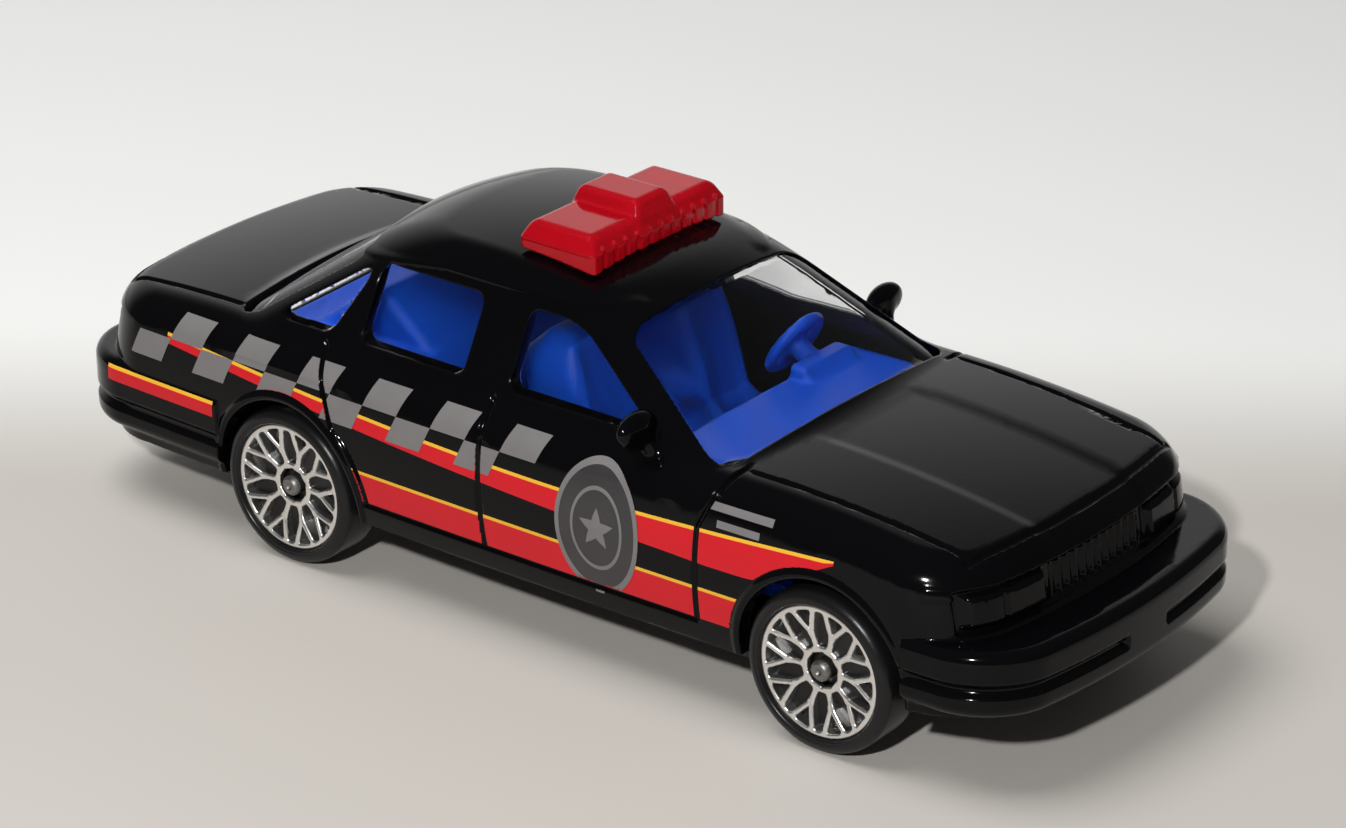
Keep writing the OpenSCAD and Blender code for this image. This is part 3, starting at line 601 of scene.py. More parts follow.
def outline_field(x, z, corners, r):
    """Distance to an outline in the side view, listed clockwise, with its corners rounded."""
    corners = np.array(corners, float)
    ahead = np.roll(corners, -1, axis=0) - corners
    out = np.stack([-ahead[:, 1], ahead[:, 0]], axis=1) / np.hypot(*ahead.T)[:, None]
    lines = [(c - r * n, n) for c, n in zip(corners, out)]
    inner = []
    for (a, n), (b, m) in zip([lines[-1]] + lines[:-1], lines):
        inner.append(np.linalg.solve(np.array([n, m]), np.array([a @ n, b @ m])))
    nearest = np.full(np.shape(x), np.inf)
    inside = np.zeros(np.shape(x), bool)
    for a, b in zip(inner, inner[1:] + inner[:1]):
        dx, dz = b - a
        t = np.clip(((x - a[0]) * dx + (z - a[1]) * dz) / (dx * dx + dz * dz), 0, 1)
        nearest = np.minimum(nearest, np.hypot(x - a[0] - t * dx, z - a[1] - t * dz))
        rises = (a[1] > z) != (b[1] > z)
        crossing = a[0] + (z - a[1]) * dx / (dz if abs(dz) > tiny else tiny)
        inside ^= rises & (x < crossing)
    return np.where(inside, -nearest, nearest) - r


def seat_field(x, y, z):
    across = np.abs(np.abs(y) - seat_y)
    outline = [
        (seat_x - seat_back_t / 2, floor_mid), (seat_x - seat_back_t, seat_h - seat_back_t / 2),
        (seat_x - seat_back_t / 2, seat_h), (seat_x + seat_back_t / 2, seat_h),
        (seat_bend_x, seat_base_h + seat_back_t / 2), (seat_x + seat_l, seat_base_h),
        (seat_x + seat_l, floor_mid)]
    hollow = seat_hollow * smooth((seat_hollow_half - across) / seat_hollow_edge) * smooth(x - seat_x)
    side = across - seat_w / 2 + seat_head_taper * np.maximum(z - seat_h + seat_head_h, 0) ** 2
    return rounded(outline_field(x, z, outline, seat_corner_r) + hollow, side, seat_edge_r)


def bench_field(x, y, z):
    lean_x = bench_x + bench_l * (bench_h - shelf_h) / (bench_h - cushion_h - bench_t / 2)
    low = [
        (bench_x - bench_back, floor_mid), (bench_x - bench_back, shelf_h), (lean_x, shelf_h),
        (bench_x + bench_l, cushion_h + bench_t / 2), (bench_x + bench_l + bench_t / 2, cushion_h),
        (bench_x + bench_l + bench_t / 2, floor_mid)]
    top = [
        (bench_x - bench_back, shelf_h - floor_t), (bench_x - bench_back, shelf_h),
        (bench_x - bench_t, bench_h - bench_t / 2), (bench_x - bench_t / 2, bench_h),
        (bench_x, bench_h), (lean_x, shelf_h), (lean_x, shelf_h - floor_t)]
    ya = np.abs(y)
    seam = seam_d * ridge(y, seam_w) * smooth(x - bench_x + 1)
    lower = rounded(outline_field(x, z, low, bench_corner_r), ya - bench_half, bench_edge_r)
    upper = rounded(outline_field(x, z, top, bench_corner_r), ya - bench_top_half, bench_top_r)
    shelf = box_field(
        x, y, z, (bench_x - shelf_l / 2, 0, shelf_h - floor_t / 2),
        (shelf_l, 2 * shelf_half, floor_t), bench_corner_r)
    return np.minimum(joined(lower, upper, bench_fillet) + seam, shelf)


def dash_field(x, y, z):
    outline = [
        (dash_x, floor_mid), (dash_x, floor_h + dash_t), (dash_edge, dash_h - dash_t), (dash_edge, dash_h),
        (cowl_x + dash_t, dash_h), (cowl_x + dash_t, dash_h - dash_t), (dash_x + dash_t, dash_h - dash_t),
        (dash_x + dash_t, floor_mid)]
    cover = [
        (dash_edge, dash_h - dash_t / 2), (dash_edge, dash_h + cover_rise),
        (dash_edge + cover_l / 2, dash_h + cover_rise), (dash_edge + cover_l, dash_h - dash_t / 2)]
    across = np.abs(y) - dash_half + dash_taper * np.maximum(x - dash_x, 0)
    plank = rounded(outline_field(x, z, outline, dash_corner_r), across, dash_edge_r)
    beside = np.abs(y - seat_y) - seat_w / 2
    hump = rounded(outline_field(x, z, cover, cover_corner_r), beside, cover_edge_r)
    return joined(plank, hump, tub_fillet)


def steering_field(x, y, z):
    sx, sz = math.sin(steer_lean), math.cos(steer_lean)
    px, py, pz = x - steer_at[0], y - steer_at[1], z - steer_at[2]
    up = -sx * px + sz * pz
    along = sz * px + sx * pz
    rim = np.hypot(np.hypot(along, py) - (steer_d - steer_t) / 2, up) - steer_t / 2
    bar = box_field(
        along, py, up, (0, 0, 0), (steer_d - steer_t, steer_bar_w, steer_bar_t), steer_fillet)
    foot = steer_at + stem_l * np.array([sx, 0, -sz])
    stem = rod_field(x, y, z, steer_at, foot, stem_r)
    return joined(joined(rim, bar, steer_fillet), stem, tub_fillet)


def tub_field(x, y, z):
    """The whole interior, with room for the wheels."""
    wells = np.minimum(np.abs(x - front_axle_x), np.abs(x - rear_axle_x)) - arch_r
    wells = np.maximum(wells, arch_depth - np.abs(y))
    floor = box_field(
        x, y, z, ((tub_low[0] + dash_x) / 2, 0, floor_mid),
        (dash_x - tub_low[0] + floor_lap, 2 * tub_high[1], floor_t), floor_r)
    tunnel = box_field(
        x, y, z, ((front_axle_x + rear_axle_x) / 2, 0, floor_mid),
        (front_axle_x - rear_axle_x + tunnel_lap, 2 * arch_depth, floor_t), floor_r)
    floor = np.minimum(np.maximum(floor, -wells), tunnel)
    bench = np.maximum(bench_field(x, y, z), -np.maximum(wells, z - axle_h - arch_r))
    seats = np.minimum(seat_field(x, y, z), bench)
    fittings = np.minimum(dash_field(x, y, z), steering_field(x, y, z))
    return joined(np.minimum(seats, fittings), floor, tub_fillet)


# From a field to a mesh
def field_values(field, low, high, step):
    """Samples of a field on a block of points, fine near its surface and rough elsewhere."""
    low = np.array(low, float)
    pace = 2
    count = [int(math.ceil((b - a) / step / pace)) * pace for a, b in zip(low, high)]
    axes = [low[i] + step * np.arange(count[i]) for i in range(3)]
    rough_axes = [a[::pace] + step * (pace - 1) / 2 for a in axes]
    rough = field(*np.meshgrid(*rough_axes, indexing="ij")).astype(np.float32)
    values = rough.repeat(pace, 0).repeat(pace, 1).repeat(pace, 2)
    near = np.abs(values) < band_n * step * pace
    i, j, k = np.nonzero(near)
    values[near] = field(axes[0][i], axes[1][j], axes[2][k])
    return values


def slope_of(field, points, reach):
    """Gradient of a field at points."""
    x, y, z = points.T
    return np.stack([
        field(x + reach, y, z) - field(x - reach, y, z),
        field(x, y + reach, z) - field(x, y - reach, z),
        field(x, y, z + reach) - field(x, y, z - reach),
    ], axis=1) / (2 * reach)


def settle(field, points, reach, most):
    """Moves points onto the surface of a field."""
    for _ in range(3):
        slope = slope_of(field, points, reach)
        size = np.maximum((slope ** 2).sum(1), least_slope)
        move = -(field(*points.T) / size)[:, None] * slope
        length = np.linalg.norm(move, axis=1, keepdims=True)
        points = points + move * np.minimum(1, most / np.maximum(length, tiny))
    return points


def mesh_object(name, points, faces, normals=None):
    """A mesh object from points in millimetres."""
    mesh = bpy.data.meshes.new(name)
    mesh.from_pydata((np.asarray(points) * MM).tolist(), [], faces)
    mesh.update()
    mesh.shade_smooth()
    if normals is not None:
        mesh.normals_split_custom_set_from_vertices(normals.tolist())
    obj = bpy.data.objects.new(name, mesh)
    bpy.context.scene.collection.objects.link(obj)
    return obj


def field_object(name, field, low, high, step, mirrored=False, adapt=0.0):
    """A closed mesh around a field, with its points and normals taken from the field itself."""
    low = np.array(low, float)
    values = field_values(field, low, high, step)
    if mirrored:
        values = np.concatenate([values[:, :0:-1], values], axis=1)
        low[1] = -step * (values.shape[1] // 2)
    limit = band_n * step
    grid = openvdb.FloatGrid(limit)
    grid.copyFromArray(np.clip(values, -limit, limit))
    points, triangles, quads = grid.convertToPolygons(isovalue=0, adaptivity=adapt)
    points = settle(field, np.asarray(points, float) * step + low, step / 3, step / 2)
    normals = slope_of(field, points, step / 3)
    normals /= np.maximum(np.linalg.norm(normals, axis=1, keepdims=True), tiny)
    faces = [tuple(f) for f in np.asarray(quads).tolist() + np.asarray(triangles).tolist()]
    a, b, c = (points[[f[i] for f in faces]] for i in range(3))
    facing = (np.cross(b - a, c - a) * normals[[f[0] for f in faces]]).sum()
    if facing < 0:
        faces = [f[::-1] for f in faces]
    return mesh_object(name, points, faces, normals)


# Materials
bump_reach = 0.05


def set_inputs(node, **values):
    """Sets values on a node's own sockets."""
    for key, value in values.items():
        node.inputs[key.replace("_", " ")].default_value = value


def material(name, scale, dark, light, rough, bump, bump_scale, **values):
    """A surface with soft changes of colour and gloss and a fine unevenness, with scales per metre."""
    mat = bpy.data.materials.new(name)
    mat.use_nodes = True
    tree = mat.node_tree
    shader = tree.nodes["Principled BSDF"]
    set_inputs(shader, **values)
    place = tree.nodes.new("ShaderNodeTexCoord")
    soft = tree.nodes.new("ShaderNodeTexNoise")
    set_inputs(soft, Scale=scale, Detail=3)
    tree.links.new(place.outputs["Object"], soft.inputs["Vector"])
    tint = tree.nodes.new("ShaderNodeMix")
    tint.data_type = "RGBA"
    set_inputs(tint, A=(*dark, 1), B=(*light, 1))
    tree.links.new(soft.outputs["Fac"], tint.inputs["Factor"])
    tree.links.new(tint.outputs["Result"], shader.inputs["Base Color"])
    gloss = tree.nodes.new("ShaderNodeMapRange")
    set_inputs(gloss, To_Min=rough[0], To_Max=rough[1])
    tree.links.new(soft.outputs["Fac"], gloss.inputs["Value"])
    tree.links.new(gloss.outputs["Result"], shader.inputs["Roughness"])
    fine = tree.nodes.new("ShaderNodeTexNoise")
    set_inputs(fine, Scale=bump_scale, Detail=2)
    tree.links.new(place.outputs["Object"], fine.inputs["Vector"])
    rise = tree.nodes.new("ShaderNodeBump")
    set_inputs(rise, Strength=bump, Distance=bump_reach * MM)
    tree.links.new(fine.outputs["Fac"], rise.inputs["Height"])
    tree.links.new(rise.outputs["Normal"], shader.inputs["Normal"])
    return mat


paint = material(
    "black_enamel", scale=60, dark=(0.0012, 0.0012, 0.0016), light=(0.0024, 0.0024, 0.003),
    rough=(0.06, 0.12), bump=0.06, bump_scale=2500, IOR=1.26)
base_plastic = material(
    "black_base", scale=200, dark=(0.012, 0.012, 0.012), light=(0.02, 0.02, 0.02),
    rough=(0.45, 0.6), bump=0.25, bump_scale=5000)
blue_plastic = material(
    "blue_moulding", scale=150, dark=(0.004, 0.075, 0.62), light=(0.006, 0.095, 0.72),
    rough=(0.3, 0.42), bump=0.1, bump_scale=3000, IOR=1.3)
clear_plastic = material(
    "clear_moulding", scale=80, dark=(0.97, 0.975, 0.98), light=(1.0, 1.0, 1.0),
    rough=(0.0, 0.02), bump=0.01, bump_scale=1500, IOR=1.3, Transmission_Weight=1.0)
red_plastic = material(
    "red_lens", scale=200, dark=(0.58, 0.003, 0.012), light=(0.68, 0.005, 0.018),
    rough=(0.06, 0.11), bump=0.02, bump_scale=3000, IOR=1.32, Transmission_Weight=0.5)
tyre_plastic = material(
    "black_tyre", scale=250, dark=(0.005, 0.005, 0.0052), light=(0.009, 0.009, 0.0095),
    rough=(0.24, 0.36), bump=0.12, bump_scale=4000, IOR=1.36)
steel = material(
    "bare_wire", scale=400, dark=(0.2, 0.195, 0.19), light=(0.3, 0.29, 0.28),
    rough=(0.35, 0.55), bump=0.2, bump_scale=6000, Metallic=1.0)
silver = material(
    "silver_lace", scale=300, dark=(0.78, 0.77, 0.75), light=(0.9, 0.89, 0.87),
    rough=(0.22, 0.36), bump=0.1, bump_scale=5000, Metallic=1.0)
red_print = material(
    "red_print", scale=300, dark=(0.56, 0.006, 0.014), light=(0.64, 0.009, 0.019),
    rough=(0.35, 0.45), bump=0.05, bump_scale=4000, IOR=1.35)
yellow_print = material(
    "yellow_print", scale=300, dark=(0.78, 0.42, 0.03), light=(0.85, 0.48, 0.04),
    rough=(0.3, 0.4), bump=0.05, bump_scale=4000, IOR=1.35)
grey_print = material(
    "grey_print", scale=500, dark=(0.15, 0.145, 0.145), light=(0.2, 0.19, 0.19),
    rough=(0.32, 0.45), bump=0.05, bump_scale=4000, IOR=1.35)
dark_print = material(
    "dark_print", scale=500, dark=(0.025, 0.023, 0.024), light=(0.045, 0.042, 0.044),
    rough=(0.3, 0.4), bump=0.05, bump_scale=4000)


def dress(obj, mat, body, slot, *nodes):
    """Gives a piece its material and the body it rides on, and hides the solids it stands for. Its slot
    argument is not used.
    """
    obj.data.materials.clear()
    obj.data.materials.append(mat)
    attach(obj, body)
    if nodes:
        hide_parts(*nodes)
    return obj


# The casting, the clear moulding and the interior
margin = 1.0
shell = field_object(
    "car_body", body_field, (rear_x - margin, 0, sill_h - margin),
    (front_x + margin, body_w / 2 + 2 * margin, roof_h + margin),
    body_step, mirrored=True, adapt=fine_adapt)
dress(shell, paint, "car", "body_paint", "body_shell")

glass_box = node_box("window_unit")
glazing = field_object(
    "car_windows", glass_field, (glass_box[0][0] - margin, 0, glass_box[0][2] - margin),
    glass_box[1] + margin, glass_step, mirrored=True, adapt=fine_adapt)
dress(glazing, clear_plastic, "car", "clear_plastic", "window_unit")

tub = field_object(
    "car_interior", tub_field, tub_low - margin, tub_high + margin, tub_step, adapt=plain_adapt)
dress(tub, blue_plastic, "car", "interior_plastic", "interior_tub")


# Wheels: a turned tyre and dish, with the lace as a raised web in the dish
bore_r = 0.66
tread_r = 0.65
tread_n = 8
tyre_turns = 96
tyre_sharp = math.radians(50)
dish_floor = tyre_w - 1.0
dish_wall = 0.12
dish_round = 0.3
hub_d = 2.3
hub_sink = 0.3
hub_lean = 0.02
# Bead around the dish: distances outside the lace and under the outer face
bead = ((0.34, 0), (0.24, 0.06), (0.14, 0.03), (0.06, 0.1))
spoke_n = 10
rim_w = 0.36
bar_half = 0.17
stem_half = 1.15 * bar_half
stem_lap = 0.2
fork_r = 2.35
branch_share = 1.1
tip_share = 0.62
hub_ring_r = hub_d / 2 + 0.17
hub_ring_half = 0.19
web_fillet, hub_fillet, rim_fillet = 0.18, 0.15, 0.2
lace_rise = 0.34
lace_cone = 0.38
cone_start, cone_l = 1.4, 2.6
crown_rise = 0.04
crown_w = 0.2
lace_edge_r = 0.09
lace_foot_r = 0.05
lace_sink = 0.02
lace_reach = lace_d / 2 + 0.2
lace_below, lace_above = 0.3, 0.1
lace_slope = 0.02


def tyre_profile():
    """Outline of a wheel as (radius, distance from its inner face), from the bore outwards and back."""
    outline = [(bore_r, 0.0)]
    for start, middle in ((-90, tread_r), (0, tyre_w - tread_r)):
        for i in range(tread_n + 1):
            a = math.radians(start + 90 * i / tread_n)
            outline.append((tyre_d / 2 - tread_r + tread_r * math.cos(a), middle + tread_r * math.sin(a)))
    outline += [(lace_d / 2 + out, tyre_w - under) for out, under in bead]
    lip = lace_d / 2 + bead[-1][0]
    outline += [(lip - dish_wall, dish_floor + dish_wall), (lip - dish_round, dish_floor)]
    outline += [(hub_d / 2 + hub_lean, dish_floor + dish_wall), (hub_d / 2, dish_floor - hub_sink)]
    outline += [(bore_r, dish_floor - hub_sink)]
    return outline


def turned(outline, count):
    """Points and faces of an outline turned about the wheel's axis."""
    turns = [2 * math.pi * i / count for i in range(count)]
    points = [(r * math.cos(a), w, r * math.sin(a)) for r, w in outline for a in turns]
    faces = []
    n = len(outline)
    for k in range(n):
        low, high = k * count, (k + 1) % n * count
        for i in range(count):
            j = (i + 1) % count
            faces.append((low + i, high + i, high + j, low + j))
    return np.array(points), faces


def lace_field(x, y, z):
    """One lace face, in the wheel's own frame with Y pointing out of the dish."""
    r = np.hypot(x, z)
    pitch = 2 * math.pi / spoke_n
    turn = np.abs((np.arctan2(z, x) + pitch / 2) % pitch - pitch / 2)
    u, v = r * np.cos(turn), r * np.sin(turn)
    rim_in = lace_d / 2 - rim_w
    tip = pitch / 2 * tip_share
    du, dv = rim_in * math.cos(tip) - fork_r, rim_in * math.sin(tip)
    t = np.clip(((u - fork_r) * du + v * dv) / (du * du + dv * dv), 0, branch_share)
    branch = np.hypot(u - fork_r - t * du, v - t * dv) - bar_half
    stem = np.maximum(v - stem_half, np.maximum(u - fork_r, hub_ring_r - stem_lap - u))
    web = joined(branch, stem, web_fillet)
    hub = np.abs(r - hub_ring_r) - hub_ring_half
    rim = np.abs(r - lace_d / 2 + rim_w / 2) - rim_w / 2
    flat = joined(joined(web, hub, hub_fillet), rim, rim_fillet)
    flat = np.maximum(flat, r - lace_d / 2)
    crown = dish_floor + lace_rise + lace_cone * smooth((r - cone_start) / cone_l)
    crown = crown + crown_rise * ridge(flat + crown_w, crown_w)
    return rounded(rounded(flat, y - crown, lace_edge_r), dish_floor - lace_sink - y, lace_foot_r)


lace_master = field_object(
    "lace_master", lace_field, (-lace_reach, dish_floor - lace_below, -lace_reach),
    (lace_reach, tyre_w + lace_above, lace_reach), lace_step, adapt=plain_adapt)
lace_points = np.array([v.co for v in lace_master.data.vertices]) / MM
lace_faces = [tuple(p.vertices) for p in lace_master.data.polygons]
lace_normals = slope_of(lace_field, lace_points, lace_slope)
lace_normals /= np.linalg.norm(lace_normals, axis=1, keepdims=True)
bpy.data.objects.remove(lace_master)
tyre_points, tyre_faces = turned(tyre_profile(), tyre_turns)

for end, axle_x in axles:
    for word, side in flanks:
        body = "%s_%s_wheel" % (end, word)
        turn = np.diag([side, side, 1])
        place = np.array([axle_x, side * wheel_in, axle_h])
        tyre = mesh_object(body + "_tyre", tyre_points @ turn + place, tyre_faces)
        tyre.data.set_sharp_from_angle(angle=tyre_sharp)
        dress(tyre, tyre_plastic, body, "wheel_plastic", body)
        lace = mesh_object(body + "_face", lace_points @ turn + place, lace_faces, lace_normals @ turn)
        dress(lace, silver, body, "bright_lace", body.replace("wheel", "lace"))

# Axles: wires with domed heads that have a small dimple
axle_low, axle_high = node_box("front_axle")
axle_half = axle_high[1]
axle_turns = 40
axle_sharp = math.radians(40)
wire_r = 0.6
head_r = (axle_high[2] - axle_low[2]) / 2 - 0.1
# Outline of a head from its middle outwards: radius, and distance under the end of the axle
dimple = [(0.001, 0.16), (0.14, 0.12), (0.24, 0), (0.48, 0)]
dome = [(head_r - 0.16, 0.05), (head_r - 0.05, 0.16), (head_r - 0.02, 0.4), (wire_r, 0.4)]
head_end = [(r, axle_half - under) for r, under in dimple + dome]
axle_outline = [(r, -w) for r, w in head_end] + head_end[::-1]
axle_points, axle_faces = turned(axle_outline, axle_turns)
for end, axle_x in axles:
    wire = mesh_object(end + "_axle_wire", axle_points + np.array([axle_x, 0, axle_h]), axle_faces)
    wire.data.set_sharp_from_angle(angle=axle_sharp)
    dress(wire, steel, end + "_axle", "steel", end + "_axle")

# Light bar: two low wings and a raised middle, with notches along its foot and lens dots on its front
bar_middle = (bar_low + bar_high) / 2
bar_l, bar_w = bar_high[0] - bar_low[0], bar_high[1] - bar_low[1]
bar_foot_h = roof_h + 0.12
bar_depth = 1.6
bar_margin = 0.5
wing_h = 1.5
middle_h = bar_high[2] - bar_foot_h
middle_w = 4.4
bar_bevel = 0.8
bevel_start = 0.4
bar_r = 0.4
bar_fillet = 0.2
bar_seat = 0.3
bar_foot_r = 0.1
lens_pitch = 1.1
notch_d = 0.06
notch_h = 0.5
notch_fade = 0.3
dot_r = 0.19
dot_h = 0.62
dot_set = 0.12
dot_margin = 0.5
dot_fillet = 0.08


def sloped_field(x, y, z, width, height):
    """A block as long as the light bar, whose sides slope in towards its top."""
    slope = bar_bevel / height
    lean = math.cos(math.atan(slope))
    up = z - bar_foot_h
    inset = slope * np.maximum(up - bevel_start, 0)
    ends = (np.abs(x - bar_middle[0]) - bar_l / 2 + inset) * lean
    sides = (np.abs(y) - width / 2 + inset) * lean
    foot = np.minimum(roof(x, y) + bar_seat, bar_foot_h) - z
    return rounded(rounded(rounded(ends, sides, bar_r), up - height, bar_r), foot, bar_foot_r)


def bar_field(x, y, z):
    wings = sloped_field(x, y, z, bar_w, wing_h)
    middle = sloped_field(x, y, z, middle_w, middle_h)
    wave = np.cos(y * 2 * math.pi / lens_pitch)
    notches = notch_d * smooth(wave) * smooth((notch_h - (z - bar_foot_h)) / notch_fade)
    shape = joined(wings, middle, bar_fillet) + notches
    dot_x = x - bar_middle[0] - bar_l / 2 + dot_set
    dot_y = (y + lens_pitch / 2) % lens_pitch - lens_pitch / 2
    dots = np.sqrt(dot_x ** 2 + dot_y ** 2 + (z - bar_foot_h - dot_h) ** 2) - dot_r
    return joined(shape, np.maximum(dots, np.abs(y) - bar_w / 2 + dot_margin), dot_fillet)


bar = field_object(
    "roof_light_bar", bar_field, (bar_low[0] - bar_margin, bar_low[1] - bar_margin, bar_foot_h - bar_depth),
    bar_high + bar_margin, bar_step)
dress(bar, red_plastic, "car", "red_plastic", "light_bar")

# Solids that stay as they are, with better materials
for name, mat in (("chassis_base", base_plastic), ("base_rivets", steel)):
    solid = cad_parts[name]
    solid.data.materials.clear()
    solid.data.materials.append(mat)

# Prints on both flanks: thin films that follow the casting
film_t = 0.016
film_slope = 0.06
film_arch_r = arch_r + 0.7
bare_line = 0.2
search_start = body_w / 2 + 1.5
search_n = 40
search_pace = 0.7


def flank_y(x, z):
    """Distance of the casting's outer face from the middle plane, at places seen from the side."""
    y = np.full(np.shape(x), search_start)
    for _ in range(search_n):
        y = y - search_pace * outer_field(x, y, z)
    return y


def film(name, mat, grid, side, lift=film_t):
    """A film over a grid of (x, z) places on one flank, open along the shut lines and the arches."""
    x, z = grid
    y = flank_y(x, z)
    points = np.stack([x.ravel(), y.ravel(), z.ravel()], axis=1)
    normals = slope_of(outer_field, points, film_slope)
    normals /= np.linalg.norm(normals, axis=1, keepdims=True)
    points = points + normals * lift
    ring = np.minimum(np.hypot(x - front_axle_x, z - axle_h), np.hypot(x - rear_axle_x, z - axle_h))
    bare = (side_lines(x, z) > bare_line) | (ring < film_arch_r)
    rows, columns = x.shape
    faces = []
    for r in range(rows - 1):
        for c in range(columns - 1):
            if bare[r:r + 2, c:c + 2].any():
                continue
            a = r * columns + c
            face = (a, a + 1, a + columns + 1, a + columns)
            faces.append(face if side < 0 else face[::-1])
    flip = np.array([1, side, 1])
    obj = mesh_object(name, points * flip, faces, normals * flip)
    return dress(obj, mat, "car", "body_paint")


def ribbon(start, end, low, high):
    """A grid between two lines along the car, each a function of x."""
    x = np.linspace(start, end, max(2, int(abs(end - start) / film_column)))
    rows = max(2, int(np.max(np.abs(high(x) - low(x))) / film_row) + 1)
    share = np.linspace(0, 1, rows)[:, None]
    return np.broadcast_to(x, (rows, len(x))).copy(), low(x) + share * (high(x) - low(x))


def curve(*knots):
    """A smooth line through (x, z) knots, listed from the rear forwards."""
    xs, zs = np.array(knots, float).T
    slopes = np.gradient(zs, xs)

    def line(x):
        i = np.clip(np.searchsorted(xs, x) - 1, 0, len(xs) - 2)
        gap = xs[i + 1] - xs[i]
        t = np.clip((x - xs[i]) / gap, 0, 1)
        start = (1 + 2 * t) * (1 - t) ** 2 * zs[i] + t * (1 - t) ** 2 * gap * slopes[i]
        return start + t * t * (3 - 2 * t) * zs[i + 1] + t * t * (t - 1) * gap * slopes[i + 1]

    return line


def level(z):
    """A line at one height."""
    return lambda x: np.full(np.shape(x), float(z))


# Stripes: a long one that runs to a point, one between the arches and one on the rear bumper
yellow_w = 0.22
yellow_share = 0.4
upper_start, upper_tip = -28.3, 25.1
upper_top = curve(
    (upper_start, 13.05), (-24.3, 12.8), (-14, 12.2), (-1, 11.76), (5.1, 11.73), (15.5, 12.06),
    (upper_tip, 12.56))
upper_low = curve(
    (upper_start, 12.35), (-24.3, 12.05), (-14, 11.2), (-1.6, 10.43), (6, 10.12), (13, 9.95), (17, 9.85),
    (20, 10), (upper_tip, 12.3))
lower_top_h, lower_low_h = 8.3, 6.1
ledge_top_h, ledge_low_h = 9.55, 8.5
stripe_arch_r = arch_r + 0.35
arch_reach = math.sqrt(stripe_arch_r ** 2 - (lower_top_h - axle_h) ** 2)
lower_start, lower_end = rear_axle_x + arch_reach, front_axle_x - arch_reach
ledge_start, ledge_end = rear_x + 4.6, rear_axle_x - arch_r - 0.3


def stripe(name, start, end, top, low, side):
    """A red stripe with a yellow line along its top, which thins out where the stripe does."""
    def seam(x):
        return top(x) - np.minimum(yellow_w, yellow_share * (top(x) - low(x)))

    film(name + "_yellow", yellow_print, ribbon(start, end, seam, top), side)
    film(name + "_red", red_print, ribbon(start, end, low, seam), side)


# A row of slanted grey blocks in two heights, a plain oval with a star, and two short bars
check_n = 12
check_low, check_high = 11.0, 14.4
check_middle = (check_low + check_high) / 2
check_start, check_end = -31.5, 2.2
check_l = (check_end - check_start) / check_n
check_slant = 0.42
badge_at = (7.9, 9.9)
badge_half = (3.2, 4.35)
badge_turns = 90
badge_core = 0.02
# Rings of the badge: inner and outer share of its size, and rows of points
badge_ground = (badge_core, 1, 30)
badge_rim = (0.9, 1, 5)
badge_ring = (0.56, 0.62, 4)
star_size = 1.35
star_turns = 100
star_rows = 12
star_dent = 1.3
short_bars = ((16.1, 20.6), (16.7, 19.8))
short_bar_low, short_bar_high = 13.35, 13.8
short_bar_pitch = 0.95


def slanted_block(start, end, low, high):
    x, z = ribbon(start, end, level(low), level(high))
    return x + check_slant * (z - check_low), z


def oval_grid(inner, outer, rows):
    """A ring between two shares of the badge's size, seen from the side."""
    a = np.linspace(0, 2 * math.pi, badge_turns + 1)[None, :]
    share = np.linspace(outer, inner, rows)[:, None]
    return badge_at[0] + badge_half[0] * share * np.cos(a), badge_at[1] + badge_half[1] * share * np.sin(a)


def star_grid():
    """A plain five-pointed star in the badge's middle."""
    a = np.linspace(0, 2 * math.pi, star_turns + 1)[None, :]
    wave = np.abs((a * 5 / (2 * math.pi) + 0.5) % 1 - 0.5) * 2
    reach = star_size / (1 + star_dent * wave)
    share = np.linspace(1, badge_core, star_rows)[:, None]
    return badge_at[0] - share * reach * np.sin(a), badge_at[1] + share * reach * np.cos(a)


for word, side in flanks:
    stripe("upper_stripe_" + word, upper_start, upper_tip, upper_top, upper_low, side)
    stripe("lower_stripe_" + word, lower_start, lower_end, level(lower_top_h), level(lower_low_h), side)
    stripe("ledge_stripe_" + word, ledge_start, ledge_end, level(ledge_top_h), level(ledge_low_h), side)
    for k in range(check_n):
        start = check_start + k * check_l
        low, high = (check_middle, check_high) if k % 2 else (check_low, check_middle)
        block = slanted_block(start, start + check_l, low, high)
        film("check_%d_%s" % (k, word), grey_print, block, side, 2 * film_t)
    film("badge_ground_" + word, dark_print, oval_grid(*badge_ground), side, 2 * film_t)
    film("badge_rim_" + word, grey_print, oval_grid(*badge_rim), side, 3 * film_t)
    film("badge_ring_" + word, grey_print, oval_grid(*badge_ring), side, 3 * film_t)
    film("badge_star_" + word, grey_print, star_grid(), side, 3 * film_t)
    for row, (start, end) in enumerate(short_bars):
        drop = short_bar_pitch * row
        block = ribbon(start, end, level(short_bar_low - drop), level(short_bar_high - drop))
        film("bar_%d_%s" % (row, word), grey_print, block, side)

# Floor, light and camera
floor_half = 700
floor_colour = (0.56, 0.53, 0.49)
floor_shade = 0.94
far_colour = (0.9, 0.9, 0.88)
fade_at = Vector((17.7, 36.4, 0))
fade_before, fade_after = 12, 20
floor_along = Vector((0.82, 0.57, 0)).normalized()
floor_back = Vector((-0.57, 0.82, 0)).normalized()
glow_from = Vector((-0.75, 0.66, 0)).normalized()
glow_edge = 0.55
glow_low, glow_high = 0.08, 0.95
camera_at = Vector((166.5, -205.2, 128.7)) * MM
camera_aim = Vector((2.73, 0, 11.08)) * MM
camera_roll = math.radians(-0.45)
focal_px, photo_w = 4594, 1346
sensor_w = 36
clip_start = 10


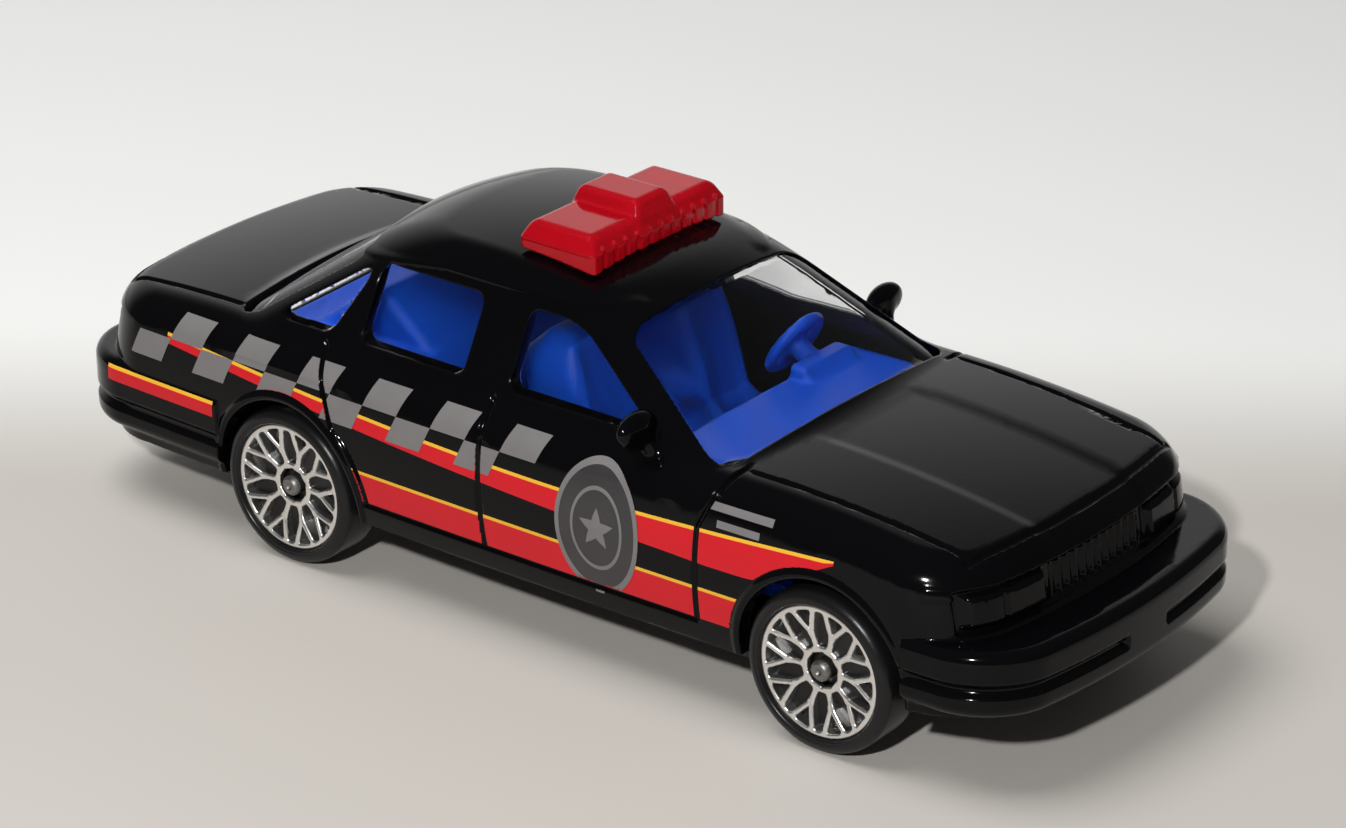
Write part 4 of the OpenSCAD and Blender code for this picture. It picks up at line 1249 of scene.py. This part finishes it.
def fade_along(tree, place, way, start, end):
    """Node whose result changes smoothly as a place goes along a way, between two distances."""
    depth = tree.nodes.new("ShaderNodeVectorMath")
    depth.operation = "DOT_PRODUCT"
    depth.inputs[1].default_value = way
    tree.links.new(place, depth.inputs[0])
    fade = tree.nodes.new("ShaderNodeMapRange")
    fade.interpolation_type = "SMOOTHSTEP"
    set_inputs(fade, From_Min=start, From_Max=end)
    tree.links.new(depth.outputs["Value"], fade.inputs["Value"])
    return fade


floor_front = fade_at - floor_back * 2 * floor_half
floor_rear = fade_at + floor_back * floor_half
floor_side = floor_along * floor_half
floor_corners = [
    floor_front - floor_side, floor_front + floor_side, floor_rear + floor_side, floor_rear - floor_side]
floor = mesh_object("floor", [tuple(c) for c in floor_corners], [(0, 1, 2, 3)])
floor_mat = material(
    "pale_floor", scale=12, dark=floor_colour, light=tuple(c * floor_shade for c in floor_colour),
    rough=(0.55, 0.7), bump=0.02, bump_scale=900, Specular_IOR_Level=0.15)
floor.data.materials.append(floor_mat)

# The floor turns nearly white behind the car
tree = floor_mat.node_tree
shader = tree.nodes["Principled BSDF"]
place = tree.nodes.new("ShaderNodeTexCoord")
fade_depth = fade_at.dot(floor_back)
fade_start, fade_end = (fade_depth - fade_before) * MM, (fade_depth + fade_after) * MM
fade = fade_along(tree, place.outputs["Object"], floor_back, fade_start, fade_end)
whiten = tree.nodes.new("ShaderNodeMix")
whiten.data_type = "RGBA"
set_inputs(whiten, B=(*far_colour, 1))
tree.links.new(shader.inputs["Base Color"].links[0].from_socket, whiten.inputs["A"])
tree.links.new(fade.outputs["Result"], whiten.inputs["Factor"])
tree.links.new(whiten.outputs["Result"], shader.inputs["Base Color"])

# The room is bright behind the car and dim on the camera's side
world = bpy.data.worlds.new("studio")
bpy.context.scene.world = world
world.use_nodes = True
tree = world.node_tree
sky = tree.nodes["Background"]
set_inputs(sky, Strength=1)
way = tree.nodes.new("ShaderNodeTexCoord")
glow = fade_along(tree, way.outputs["Generated"], glow_from, glow_edge, 1)
set_inputs(glow, To_Min=glow_low, To_Max=glow_high)
tree.links.new(glow.outputs["Result"], sky.inputs["Color"])


def lamp(name, at, aim, size, power):
    """A round soft lamp."""
    data = bpy.data.lights.new(name, "AREA")
    data.shape = "DISK"
    data.size = size * MM
    data.energy = power
    obj = bpy.data.objects.new(name, data)
    obj.location = Vector(at) * MM
    obj.rotation_euler = (Vector(aim) * MM - obj.location).to_track_quat("-Z", "Y").to_euler()
    bpy.context.scene.collection.objects.link(obj)
    return obj


overhead = lamp("overhead", at=(-110, -70, 400), aim=(0, 0, 0), size=300, power=1.15)
overhead.visible_glossy = False
lamp("near_camera", at=(120, -240, 190), aim=(0, 0, 10), size=16, power=0.71)

camera = bpy.data.cameras.new("photo_camera")
camera.sensor_width = sensor_w
camera.lens = focal_px * sensor_w / photo_w
camera.clip_start = clip_start * MM
camera_obj = bpy.data.objects.new("photo_camera", camera)
bpy.context.scene.collection.objects.link(camera_obj)
look = (camera_aim - camera_at).to_track_quat("-Z", "Y").to_matrix()
look = look @ Matrix.Rotation(camera_roll, 3, "Z")
camera_obj.matrix_world = Matrix.Translation(camera_at) @ look.to_4x4()
bpy.context.scene.camera = camera_obj
bpy.context.scene.view_settings.view_transform = "Standard"
